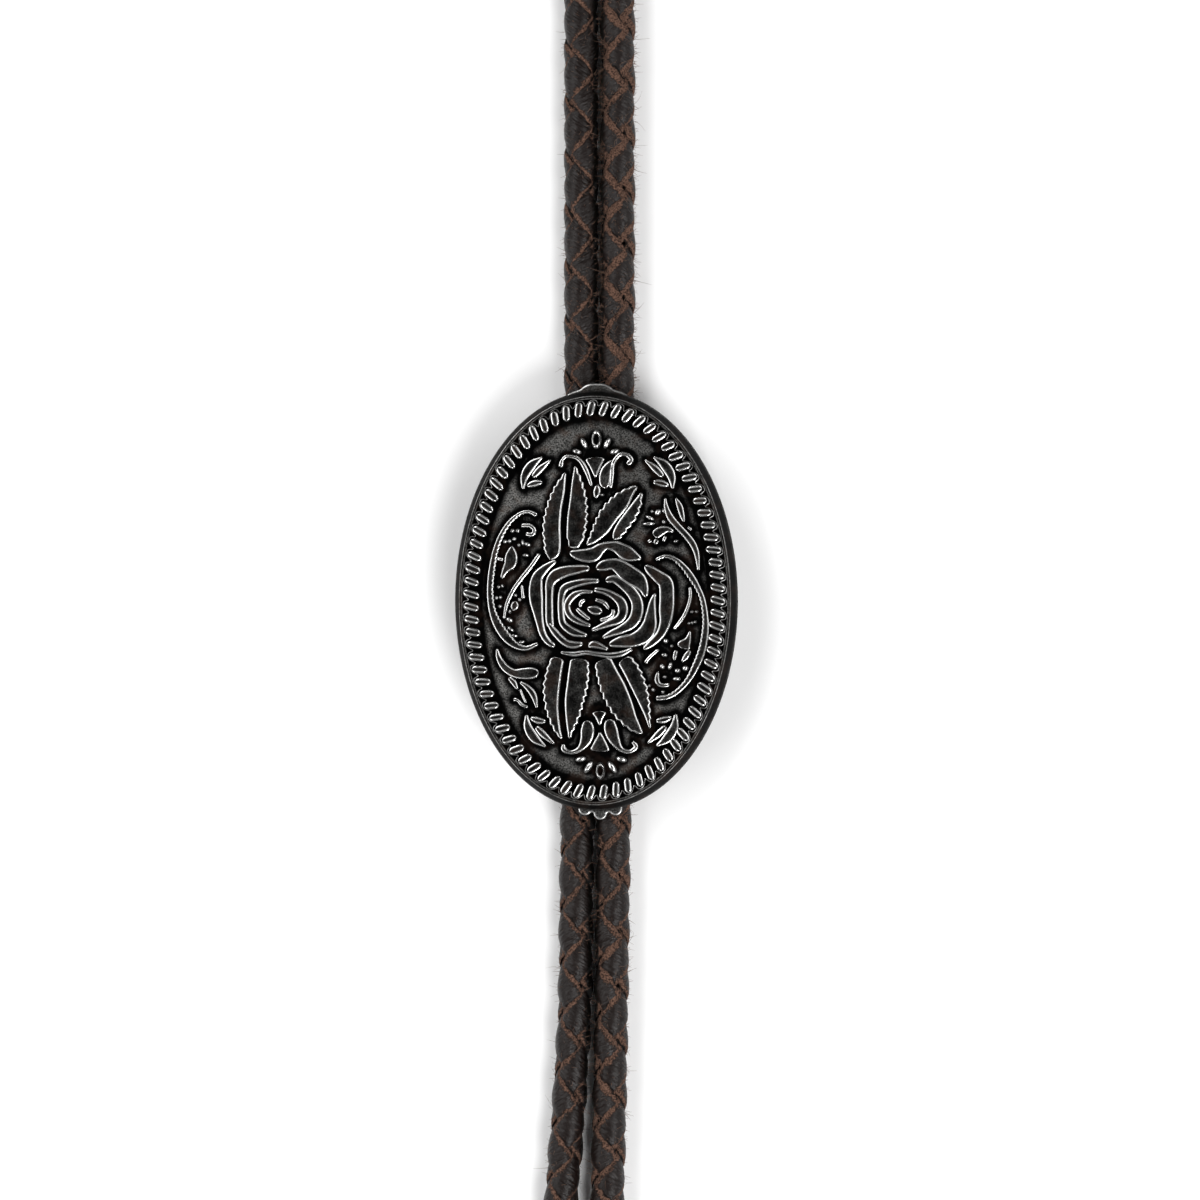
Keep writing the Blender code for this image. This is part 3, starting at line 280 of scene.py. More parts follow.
# One corner sprig, and for each corner its two signs and its shift.
CORNER_SPRIG = {
    "outer_blade": [
        (0.645, 0.61, 0.02), (0.632, 0.68, 0.065), (0.57, 0.742, 0.07), (0.475, 0.785, 0.015)],
    "inner_blade": [(0.56, 0.676, 0.04), (0.49, 0.722, 0.05), (0.4, 0.77, 0.015)],
    "lobe": [(0.61, 0.627, 0.025), (0.55, 0.64, 0.05), (0.475, 0.648, 0.03)],
}
CORNERS = [(1, 1, -0.01, 0.0), (-1, 1, -0.03, 0.0), (-1, -1, 0.0, -0.015), (1, -1, 0.015, -0.01)]
SCROLLS = {
    "left_crescent": [
        (-0.55, 0.467, 0.032), (-0.62, 0.487, 0.022), (-0.7, 0.477, 0.025), (-0.79, 0.432, 0.03),
        (-0.87, 0.357, 0.035), (-0.922, 0.27, 0.04), (-0.955, 0.16, 0.045), (-0.968, 0.05, 0.045),
        (-0.95, -0.05, 0.05), (-0.9, -0.13, 0.065), (-0.825, -0.198, 0.07), (-0.74, -0.245, 0.05),
        (-0.64, -0.262, 0.035), (-0.54, -0.236, 0.028)],
    "left_stem": [
        (-0.523, 0.256, 0.028), (-0.6, 0.187, 0.03), (-0.69, 0.117, 0.03), (-0.76, 0.055, 0.03),
        (-0.815, -0.02, 0.028), (-0.84, -0.1, 0.018)],
    "left_maple": [
        (-0.77, 0.298, 0.02), (-0.775, 0.25, 0.09), (-0.785, 0.205, 0.095), (-0.83, 0.165, 0.05),
        (-0.862, 0.122, 0.025)],
    "left_maple_lobe": [(-0.905, 0.23, 0.02), (-0.848, 0.224, 0.028)],
    "left_curl": [
        (-0.69, 0.411, 0.03), (-0.61, 0.41, 0.03), (-0.572, 0.386, 0.03), (-0.592, 0.361, 0.033),
        (-0.65, 0.366, 0.028)],
    "left_bell": [(-0.735, -0.003, 0.035), (-0.745, -0.03, 0.06), (-0.762, -0.055, 0.025)],
    "left_twig": [(-0.68, 0.087, 0.018), (-0.675, 0.045, 0.022), (-0.667, 0.008, 0.03)],
    "left_horn": [
        (-0.905, -0.262, 0.018), (-0.885, -0.318, 0.045), (-0.83, -0.368, 0.06),
        (-0.75, -0.398, 0.065), (-0.665, -0.4, 0.085), (-0.59, -0.397, 0.085),
        (-0.535, -0.392, 0.05)],
    "left_blade": [
        (-0.7, -0.446, 0.02), (-0.632, -0.476, 0.042), (-0.578, -0.522, 0.048),
        (-0.55, -0.588, 0.018)],
    "left_spur": [(-0.8, -0.421, 0.028), (-0.755, -0.45, 0.042), (-0.722, -0.487, 0.02)],
    "left_foot": [
        (-0.762, -0.541, 0.035), (-0.72, -0.547, 0.024), (-0.685, -0.57, 0.026),
        (-0.63, -0.585, 0.02)],
    "left_hair": [(-0.698, -0.485, 0.015), (-0.677, -0.52, 0.016), (-0.648, -0.56, 0.015)],
    "right_horn": [
        (0.57, 0.56, 0.015), (0.58, 0.51, 0.035), (0.615, 0.455, 0.05), (0.68, 0.405, 0.05),
        (0.75, 0.358, 0.05), (0.81, 0.308, 0.05), (0.845, 0.25, 0.04), (0.86, 0.165, 0.018)],
    "right_prong": [
        (0.66, 0.56, 0.015), (0.695, 0.515, 0.045), (0.715, 0.47, 0.04), (0.732, 0.43, 0.02)],
    "right_spur": [(0.765, 0.402, 0.02), (0.8, 0.384, 0.018)],
    "right_bell": [
        (0.645, 0.375, 0.02), (0.59, 0.388, 0.045), (0.53, 0.378, 0.07), (0.475, 0.352, 0.07)],
    "bell_prong_a": [(0.448, 0.33, 0.03), (0.425, 0.318, 0.022)],
    "bell_prong_b": [(0.503, 0.333, 0.038), (0.482, 0.308, 0.03)],
    "bell_prong_c": [(0.575, 0.352, 0.026), (0.556, 0.322, 0.026)],
    "right_crescent": [
        (0.49, 0.222, 0.024), (0.57, 0.243, 0.025), (0.66, 0.226, 0.03), (0.74, 0.18, 0.04),
        (0.805, 0.125, 0.045), (0.86, 0.065, 0.036), (0.9, 0.0, 0.036), (0.923, -0.1, 0.04),
        (0.917, -0.19, 0.048), (0.887, -0.28, 0.052), (0.84, -0.355, 0.05), (0.775, -0.43, 0.04),
        (0.69, -0.49, 0.035), (0.6, -0.525, 0.034), (0.49, -0.535, 0.036)],
    "right_stem": [
        (0.785, 0.075, 0.02), (0.79, 0.03, 0.024), (0.778, -0.015, 0.025), (0.745, -0.07, 0.026),
        (0.7, -0.115, 0.026), (0.645, -0.157, 0.016)],
    "right_maple_up": [
        (0.787, -0.165, 0.014), (0.77, -0.21, 0.045), (0.735, -0.245, 0.1), (0.725, -0.262, 0.1)],
    "right_maple_out": [(0.785, -0.272, 0.03), (0.755, -0.302, 0.04), (0.715, -0.335, 0.022)],
    "right_maple_in": [(0.668, -0.272, 0.03), (0.655, -0.3, 0.03), (0.65, -0.328, 0.014)],
    "right_hook": [
        (0.51, -0.39, 0.02), (0.5, -0.43, 0.036), (0.52, -0.457, 0.032), (0.57, -0.464, 0.03),
        (0.607, -0.458, 0.03)],
    "right_sprig": [(0.398, -0.342, 0.026), (0.44, -0.308, 0.025), (0.516, -0.266, 0.02)],
}
# Drops and berries: across and along as shares of the field's half width and half length,
# length and width as shares of its half width, and the length's turn in degrees from the
# across direction.
DROPS = [
    (-0.143, 0.862, 0.105, 0.048, 118), (0.062, 0.862, 0.105, 0.048, 62),
    (-0.205, 0.815, 0.085, 0.045, 165), (0.128, 0.815, 0.085, 0.045, 15),
    (0.02, 0.578, 0.04, 0.03, 0), (-0.172, -0.868, 0.1, 0.048, 10),
    (-0.104, -0.912, 0.12, 0.052, 55), (0.105, -0.912, 0.12, 0.052, 125),
    (0.185, -0.868, 0.1, 0.048, 165), (-0.77, 0.383, 0.04, 0.04, 0),
    (-0.722, 0.383, 0.04, 0.04, 0), (-0.836, 0.323, 0.04, 0.04, 0),
    (-0.795, 0.325, 0.036, 0.036, 0), (-0.752, 0.338, 0.04, 0.032, 20),
    (-0.712, 0.303, 0.032, 0.032, 0), (-0.677, 0.318, 0.05, 0.028, 100),
    (-0.632, 0.307, 0.06, 0.036, 160), (-0.65, 0.248, 0.06, 0.03, 0),
    (-0.892, 0.075, 0.034, 0.034, 0), (-0.858, 0.08, 0.03, 0.034, 0),
    (-0.91, 0.015, 0.032, 0.032, 0), (-0.874, 0.017, 0.032, 0.032, 0),
    (-0.878, -0.032, 0.04, 0.036, 0), (-0.742, 0.03, 0.036, 0.03, 0),
    (-0.703, 0.005, 0.034, 0.036, 0), (-0.79, -0.06, 0.04, 0.03, 80),
    (-0.796, -0.105, 0.07, 0.04, 155), (-0.785, -0.156, 0.075, 0.03, 145),
    (-0.755, -0.193, 0.075, 0.028, 175), (-0.69, -0.229, 0.07, 0.028, 15),
    (0.661, 0.324, 0.045, 0.028, 15), (0.557, 0.43, 0.036, 0.036, 0),
    (0.557, 0.488, 0.05, 0.026, 110), (0.505, 0.482, 0.06, 0.048, 40),
    (0.455, 0.487, 0.03, 0.03, 0), (0.436, 0.452, 0.085, 0.028, 155),
    (0.425, 0.419, 0.11, 0.032, 0), (0.8, -0.061, 0.03, 0.028, 0), (0.84, -0.06, 0.03, 0.028, 0),
    (0.775, -0.124, 0.028, 0.026, 0), (0.803, -0.121, 0.028, 0.028, 0),
    (0.83, -0.117, 0.028, 0.028, 0), (0.575, -0.22, 0.045, 0.04, 0),
    (0.627, -0.248, 0.028, 0.028, 0), (0.562, -0.297, 0.055, 0.034, 170),
    (0.543, -0.36, 0.05, 0.04, 120), (0.612, -0.356, 0.07, 0.036, 70),
    (0.676, -0.383, 0.05, 0.042, 0), (0.744, -0.37, 0.055, 0.048, 0),
    (0.565, -0.417, 0.04, 0.03, 0), (0.668, -0.428, 0.07, 0.034, 175),
    (0.433, -0.464, 0.026, 0.026, 0), (0.464, -0.487, 0.034, 0.034, 0),
    (0.55, -0.5, 0.034, 0.036, 0),
]
HOLLOW_DROPS = [(-0.034, 0.882, 0.155, 0.08, 90), (0.0, -0.932, 0.14, 0.075, 90)]

# Place and width of each white light in metres, and its power in watts; the key's is set in
# the panel's settings.
KEY_LIGHT = (0.5, -0.62, 0.8), 0.55
FILL_LIGHTS = {
    "fill_left": ((-0.82, -0.25, 0.75), 0.9, 6.5),
    "fill_right": ((0.82, 0.35, 0.75), 0.9, 5.0),
    "fill_back": ((-0.66, 0.58, 0.85), 0.75, 7.0),
}
WORLD_STRENGTH = 0.08
SENSOR_WIDTH_MM = 36.0
CAMERA_AIM = np.array([0.00055, 0.00007, 0.00665])
FLOOR_HALF = 1.2

# Worked out from the sizes above
CORD_RADIUS = CORD_DIAMETER / 2
CORD_Z = CORD_RADIUS + CORD_REST
CLIP_CENTRE = abs(LOOP_ROUTE[0][0])
CLIP_INNER = CORD_RADIUS + GAP
CLIP_OUTER = CLIP_INNER + CLIP_THICKNESS
CLIP_TOP = CORD_Z + CLIP_OUTER
BACK_Z = CLIP_TOP + GAP
FACE_Z = BACK_Z + EDGE_THICKNESS - RIM_RISE
HALF_WIDTH = SLIDE_WIDTH / 2
HALF_LENGTH = SLIDE_LENGTH / 2
ROPE_INSET = EDGE_FLARE + RIM_WIDTH + RIM_STEP + ROPE_MARGIN / 2 + ROPE_WIDTH / 2
FIELD_INSET = ROPE_INSET + ROPE_WIDTH / 2 + ROPE_MARGIN
FIELD_HALF_WIDTH = HALF_WIDTH - FIELD_INSET
FIELD_HALF_LENGTH = HALF_LENGTH - FIELD_INSET


# Colour, nodes and meshes

def linear(text):
    """An sRGB hex colour as linear red, green and blue, with alpha 1."""
    share = np.array([int(text[k:k + 2], 16) / 255 for k in (1, 3, 5)])
    out = np.where(share <= 0.04045, share / 12.92, ((share + 0.055) / 1.055) ** 2.4)
    return (*out.tolist(), 1.0)


def add_node(tree, kind, inputs=None, **settings):
    """A new node with its settings, and each input set to a value or fed from a socket."""
    node = tree.nodes.new(kind)
    for name, value in settings.items():
        setattr(node, name, value)
    for name, value in (inputs or {}).items():
        if isinstance(value, bpy.types.NodeSocket):
            tree.links.new(value, node.inputs[name])
        else:
            node.inputs[name].default_value = value
    return node


def mix_colour(tree, factor, first, second):
    """A mix of two colours, each one a socket or an sRGB hex colour."""
    first, second = (linear(side) if isinstance(side, str) else side for side in (first, second))
    return add_node(tree, "ShaderNodeMix", {0: factor, 6: first, 7: second},
                    data_type="RGBA").outputs[2]


def mix_value(tree, factor, first, second):
    return add_node(tree, "ShaderNodeMix", {0: factor, 2: first, 3: second},
                    data_type="FLOAT").outputs[0]


def maths(tree, operation, *values):
    return add_node(tree, "ShaderNodeMath", dict(enumerate(values)), operation=operation).outputs[0]


def jitter(tree, value, pattern, size):
    """A value moved up and down by a noise: value + (pattern - 0.5) size."""
    swing = maths(tree, "MULTIPLY", maths(tree, "SUBTRACT", pattern, 0.5), size)
    return maths(tree, "ADD", value, swing)


def smooth_share(tree, value, low, high):
    """A value mapped to 0 at low and 1 at high along a smooth step."""
    return add_node(tree, "ShaderNodeMapRange", {0: value, 1: low, 2: high},
                    interpolation_type="SMOOTHSTEP").outputs[0]


def attribute(tree, name):
    return add_node(tree, "ShaderNodeAttribute", attribute_name=name).outputs["Fac"]


def coordinates(tree, kind="Object"):
    return add_node(tree, "ShaderNodeTexCoord").outputs[kind]


def feed(tree, shader, **sockets):
    """Link each of the shader's named inputs to a socket."""
    for name, value in sockets.items():
        tree.links.new(value, shader.inputs[name.replace("_", " ")])


def noise(tree, vector, period_mm, detail=3.0, roughness=0.55, stretch=(1, 1, 1)):
    """Noise whose blotches are period_mm apart, on a vector in metres."""
    scale = [share / (period_mm * MM) for share in stretch]
    sized = add_node(tree, "ShaderNodeMapping", {"Vector": vector, "Scale": scale}).outputs[0]
    inputs = {"Vector": sized, "Scale": 1.0, "Detail": detail, "Roughness": roughness}
    return add_node(tree, "ShaderNodeTexNoise", inputs).outputs["Fac"]


def new_material(name, **sockets):
    """A material's tree and shader, the Principled shader's constant sockets being set."""
    material = bpy.data.materials.new(name)
    material.use_nodes = True
    tree = material.node_tree
    shader = tree.nodes["Principled BSDF"]
    for socket, value in sockets.items():
        shader.inputs[socket.replace("_", " ")].default_value = value
    return tree, shader


def bump(tree, shader, height, distance_mm, strength=1.0, before=None):
    inputs = {"Height": height, "Distance": distance_mm * MM, "Strength": strength}
    if before is not None:
        inputs["Normal"] = before
    normal = add_node(tree, "ShaderNodeBump", inputs).outputs[0]
    feed(tree, shader, Normal=normal)
    return normal


def build_object(name, points, polygons, material, floats=None, uv=None, sharp=None):
    """A mesh object from whole arrays: corner lists grouped by their size, and attributes.

    material is the name of one that has been made.
    """
    corners = np.concatenate([p.ravel() for p in polygons]).astype(np.int32)
    sizes = np.concatenate([np.full(len(p), p.shape[1]) for p in polygons])
    starts = np.concatenate([[0], np.cumsum(sizes)[:-1]]).astype(np.int32)
    mesh = bpy.data.meshes.new(name)
    mesh.vertices.add(len(points))
    mesh.vertices.foreach_set("co", np.ascontiguousarray(points, np.float32).ravel())
    mesh.loops.add(len(corners))
    mesh.loops.foreach_set("vertex_index", corners)
    mesh.polygons.add(len(starts))
    mesh.polygons.foreach_set("loop_start", starts)
    mesh.update(calc_edges=True)
    for key, values in (floats or {}).items():
        layer = mesh.attributes.new(key, "FLOAT", "POINT")
        layer.data.foreach_set("value", np.ascontiguousarray(values, np.float32))
    if uv is not None:
        layer = mesh.uv_layers.new(name="UVMap")
        layer.data.foreach_set("uv", np.ascontiguousarray(uv[corners], np.float32).ravel())
    mesh.materials.append(bpy.data.materials[material])
    mesh.shade_smooth()
    if sharp is not None:
        mesh.set_sharp_from_angle(angle=math.radians(sharp))
    made = bpy.data.objects.new(name, mesh)
    bpy.context.scene.collection.objects.link(made)
    return made


def outward(points, polygons):
    """The polygons, turned over if the volume they close comes out negative."""
    total = 0.0
    for group in polygons:
        place = points[group]
        for k in range(1, group.shape[1] - 1):
            total += np.einsum("ij,ij->", place[:, 0], np.cross(place[:, k], place[:, k + 1]))
    return polygons if total > 0 else [group[:, ::-1] for group in polygons]


def ring_quads(index):
    """Quads from each ring of point numbers to the next, in their last two axes."""
    after = np.roll(index, -1, axis=-1)
    return np.stack([index[..., :-1, :], after[..., :-1, :], after[..., 1:, :],
                     index[..., 1:, :]], axis=-1).reshape(-1, 4)


def loft(rings):
    """Points and faces of a body through its rings (section, corner, xyz), closed at both ends."""
    index = np.arange(rings.shape[0] * rings.shape[1]).reshape(rings.shape[:2])
    points = rings.reshape(-1, 3)
    return points, outward(points, [ring_quads(index), index[:1, ::-1], index[-1:]])


def revolve(levels):
    """Points and faces of rings (level, side, xyz) whose first and last level are one point each."""
    count, sides = levels.shape[:2]
    index = 1 + np.arange((count - 2) * sides).reshape(count - 2, sides)
    after = np.roll(index, -1, axis=1)
    last = 1 + (count - 2) * sides
    first_fan = np.stack([np.zeros(sides, int), after[0], index[0]], axis=-1)
    last_fan = np.stack([np.full(sides, last), index[-1], after[-1]], axis=-1)
    points = np.vstack([levels[:1, 0], levels[1:-1].reshape(-1, 3), levels[-1:, 0]])
    return points, outward(points, [ring_quads(index), first_fan, last_fan])


def gather(bodies):
    """Several bodies (points, polygons, floats) as one set of points, polygons and floats."""
    points, groups, floats, start = [], {}, {}, 0
    for body_points, polygons, values in bodies:
        points.append(body_points)
        for group in polygons:
            groups.setdefault(group.shape[1], []).append(group + start)
        for key, value in values.items():
            floats.setdefault(key, []).append(value)
        start += len(body_points)
    return (np.vstack(points), [np.vstack(found) for found in groups.values()],
            {key: np.concatenate(found) for key, found in floats.items()})


def unit(vectors):
    """Each vector divided by its own length."""
    return vectors / np.linalg.norm(vectors, axis=-1, keepdims=True)


def left_of(way):
    """Directions in the plan, turned a quarter to the left."""
    return np.column_stack([-way[:, 1], way[:, 0]])


def around(count):
    """Even angles once round, from 0."""
    return np.arange(count) * 2 * math.pi / count


def arc_length(curve):
    return np.concatenate([[0.0], np.cumsum(np.linalg.norm(np.diff(curve, axis=0), axis=1))])


def read_curve(curve, run, at):
    """The curve's columns read at the distances at, straight between its points."""
    return np.stack([np.interp(at, run, curve[:, k]) for k in range(curve.shape[1])], axis=-1)


def spline(rows, per_span=24):
    """Catmull-Rom curve: each span is the cubic set by its two ends and their neighbours."""
    rows = np.asarray(rows, float)
    ends = np.vstack([2 * rows[0] - rows[1], rows, 2 * rows[-1] - rows[-2]])
    a, b, c, d = ends[:-3, None], ends[1:-2, None], ends[2:-1, None], ends[3:, None]
    t = (np.arange(per_span) / per_span)[None, :, None]
    out = 0.5 * (2 * b + (c - a) * t + (2 * a - 5 * b + 4 * c - d) * t ** 2
                 + (3 * b - a - 3 * c + d) * t ** 3)
    return np.vstack([out.reshape(-1, rows.shape[1]), rows[-1:]])


def face_height(across, along):
    """Height of the slide's face: flat under the rope, and a low dome in the field."""
    reach = (across / FIELD_HALF_WIDTH) ** 2 + (along / FIELD_HALF_LENGTH) ** 2
    return FACE_Z + DOME_RISE * np.maximum(0.0, 1.0 - reach)


# Settings

class BOLO_PG_slide(bpy.types.PropertyGroup):
    relief_rise: bpy.props.FloatProperty(
        name="Relief rise", description="Height of the ornament over the field",
        default=0.0008, min=0.0, unit="LENGTH")
    edge_round: bpy.props.FloatProperty(
        name="Edge round", description="Radius of the ornament's polished edges",
        default=0.0002, min=0.0, unit="LENGTH")
    rope_rise: bpy.props.FloatProperty(
        name="Rope rise", description="Height of the rope border's strands",
        default=0.0009, min=0.0, unit="LENGTH")
    recess_colour: bpy.props.StringProperty(
        name="Recess colour", description="sRGB hex of the blackened recesses", default="#020202")
    top_colour: bpy.props.StringProperty(
        name="Top colour", description="sRGB hex of the darkened tops", default="#282827")
    field_colour: bpy.props.StringProperty(
        name="Field colour", description="sRGB hex of the open field", default="#72716f")
    satin_colour: bpy.props.StringProperty(
        name="Satin colour", description="sRGB hex of the half-worn tops", default="#858483")
    edge_colour: bpy.props.StringProperty(
        name="Edge colour", description="sRGB hex of the polished edges", default="#f6f6f5")


class BOLO_PG_cord(bpy.types.PropertyGroup):
    lace_width: bpy.props.FloatProperty(
        name="Lace width", description="Width of each flat leather lace",
        default=0.0044, min=0.0005, unit="LENGTH")
    lace_thickness: bpy.props.FloatProperty(
        name="Lace thickness", description="Thickness of each lace",
        default=0.001, min=0.0002, unit="LENGTH")
    braid_pitch: bpy.props.FloatProperty(
        name="Braid pitch", description="Length in which a lace goes once round the cord",
        default=0.0152, min=0.004, unit="LENGTH")
    grain_colour: bpy.props.StringProperty(
        name="Grain colour", description="sRGB hex of the leather's smooth side", default="#160e0c")
    raw_colour: bpy.props.StringProperty(
        name="Raw edge colour", description="sRGB hex of the cut edges", default="#765849")


class BOLO_PG_metal(bpy.types.PropertyGroup):
    plate_colour: bpy.props.StringProperty(
        name="Plating colour", description="sRGB hex of the clip and tips", default="#c4beb4")


class BOLO_PG_stage(bpy.types.PropertyGroup):
    view_width: bpy.props.FloatProperty(
        name="View width", description="Width of the frame at the slide", default=0.1652,
        min=0.01, unit="LENGTH")
    camera_tilt: bpy.props.FloatProperty(
        name="Camera tilt", description="Lean of the camera towards the slide's right side",
        default=math.radians(6.5), subtype="ANGLE")
    lens_mm: bpy.props.FloatProperty(
        name="Lens", description="Focal length in millimetres", default=135.0, min=10.0)
    key_power: bpy.props.FloatProperty(
        name="Key power", description="Power of the main light", default=10.5, min=0.0, unit="POWER")
    floor_colour: bpy.props.StringProperty(
        name="Floor colour", description="sRGB hex of the floor", default="#fbfbfb")


def settings(group):
    return getattr(bpy.context.scene, "bolo_" + group)


# Materials

def cast_silver():
    """Antiqued cast metal. Attribute edge is 1 on polished crests, and pit is 1 in recesses."""
    s = settings("slide")
    tree, shader = new_material("antiqued_cast_silver", Specular_Tint=linear("#4a4a4a"))
    place = coordinates(tree)
    # Blotches of wear about 1.3 mm apart, chips 0.5 mm apart, brown tarnish 2.4 mm apart and
    # a cast grain of 0.2 mm break up every tone.
    wear = noise(tree, place, 1.3, detail=4.0)
    chips = noise(tree, place, 0.5, detail=2.0)
    grain = noise(tree, place, 0.2, detail=2.0)
    tarnish = smooth_share(tree, noise(tree, place, 2.4), 0.48, 0.68)
    worn = jitter(tree, jitter(tree, attribute(tree, "edge"), wear, 0.5), chips, 0.35)
    bright = smooth_share(tree, worn, 0.55, 0.9)
    dark = smooth_share(tree, jitter(tree, attribute(tree, "pit"), wear, 0.7), -0.05, 0.85)
    # The open field is speckled, tarnished in patches, satin where worn and bright on crests.
    tone = mix_colour(tree, smooth_share(tree, grain, 0.35, 0.65), s.top_colour, s.field_colour)
    tone = mix_colour(tree, maths(tree, "MULTIPLY", tarnish, 0.4), tone, "#4f3d31")
    tone = mix_colour(tree, smooth_share(tree, worn, 0.3, 0.75), tone, s.satin_colour)
    tone = mix_colour(tree, bright, tone, s.edge_colour)
    black = mix_colour(tree, tarnish, s.recess_colour, "#150e0b")
    # The black in the recesses is a dull sulphide, the tops are satin and the crests polished.
    rough = mix_value(tree, bright, 0.42, 0.2)
    feed(tree, shader, Base_Color=mix_colour(tree, dark, tone, black),
         Metallic=mix_value(tree, dark, 1.0, 0.15),
         Specular_IOR_Level=mix_value(tree, dark, 0.5, 0.15),
         Roughness=mix_value(tree, dark, rough, 0.7))
    bump(tree, shader, grain, 0.02, 0.5)


def plated_steel():
    """Soft nickel-like plating, with drawn lines 0.35 mm apart and smudges 4 mm apart."""
    tree, shader = new_material("plated_steel_strip", Metallic=1.0)
    place = coordinates(tree)
    lines = noise(tree, place, 0.35, stretch=(1, 0.06, 1))
    smudge = smooth_share(tree, noise(tree, place, 4.0), 0.35, 0.75)
    feed(tree, shader, Base_Color=mix_colour(tree, smudge, settings("metal").plate_colour, "#8d867c"),
         Roughness=mix_value(tree, lines, 0.16, 0.4))
    bump(tree, shader, lines, 0.006, 0.6)


def braided_leather():
    """Dark waxed leather. Attribute flesh is 1 on cut edges, and painted_shade is 1 where black is
    painted in as shade: down the seams, under the laces, on the core and on the cords' facing sides.
    """
    s = settings("cord")
    tree, shader = new_material("waxed_leather_lace", Specular_IOR_Level=0.25)
    place = coordinates(tree)
    # Wrinkles lie across the lace, 0.4 mm apart, and the tone drifts over 5 mm. Fuzz on the
    # cut edges is 0.2 mm, and patches 1.1 mm apart make their width uneven.
    wrinkle = noise(tree, coordinates(tree, "UV"), 0.42, stretch=(1, 0.25, 1))
    tone = noise(tree, place, 5.0)
    fuzz = noise(tree, place, 0.22, detail=4.0, roughness=0.7)
    ragged = noise(tree, place, 1.1)
    frayed = jitter(tree, jitter(tree, attribute(tree, "flesh"), fuzz, 0.7), ragged, 0.7)
    raw = smooth_share(tree, frayed, 0.5, 0.68)
    # Painted shade: the grain goes darker down in the wrinkles' hollows, as the shade in the creases.
    grain_tone = mix_colour(tree, wrinkle, "#080504", s.grain_colour)
    grain_tone = mix_colour(tree, maths(tree, "MULTIPLY", tone, 0.6), grain_tone, "#1a0f0b")
    raw_tone = mix_colour(tree, smooth_share(tree, fuzz, 0.36, 0.62), "#1c100b", s.raw_colour)
    outer_tone = mix_colour(tree, raw, grain_tone, raw_tone)
    # Painted shade: black down the seams, under the laces, on the core and on the cords' facing sides.
    shade_mix = smooth_share(tree, attribute(tree, "painted_shade"), 0.2, 0.9)
    rough = mix_value(tree, wrinkle, 0.27, 0.5)
    feed(tree, shader, Base_Color=mix_colour(tree, shade_mix, outer_tone, "#040302"),
         Roughness=mix_value(tree, raw, rough, 0.95))
    fine = bump(tree, shader, wrinkle, 0.32)
    bump(tree, shader, maths(tree, "MULTIPLY", fuzz, raw), 0.3, before=fine)


def fibre_material():
    """Loose hairs of the flesh side, their tone drifting to pale brown over 1.5 mm."""
    tree, shader = new_material("leather_fibre", Roughness=0.9)
    tone = noise(tree, coordinates(tree), 1.5)
    feed(tree, shader, Base_Color=mix_colour(tree, tone, "#33241d", "#8a6a58"))


# The cast slide

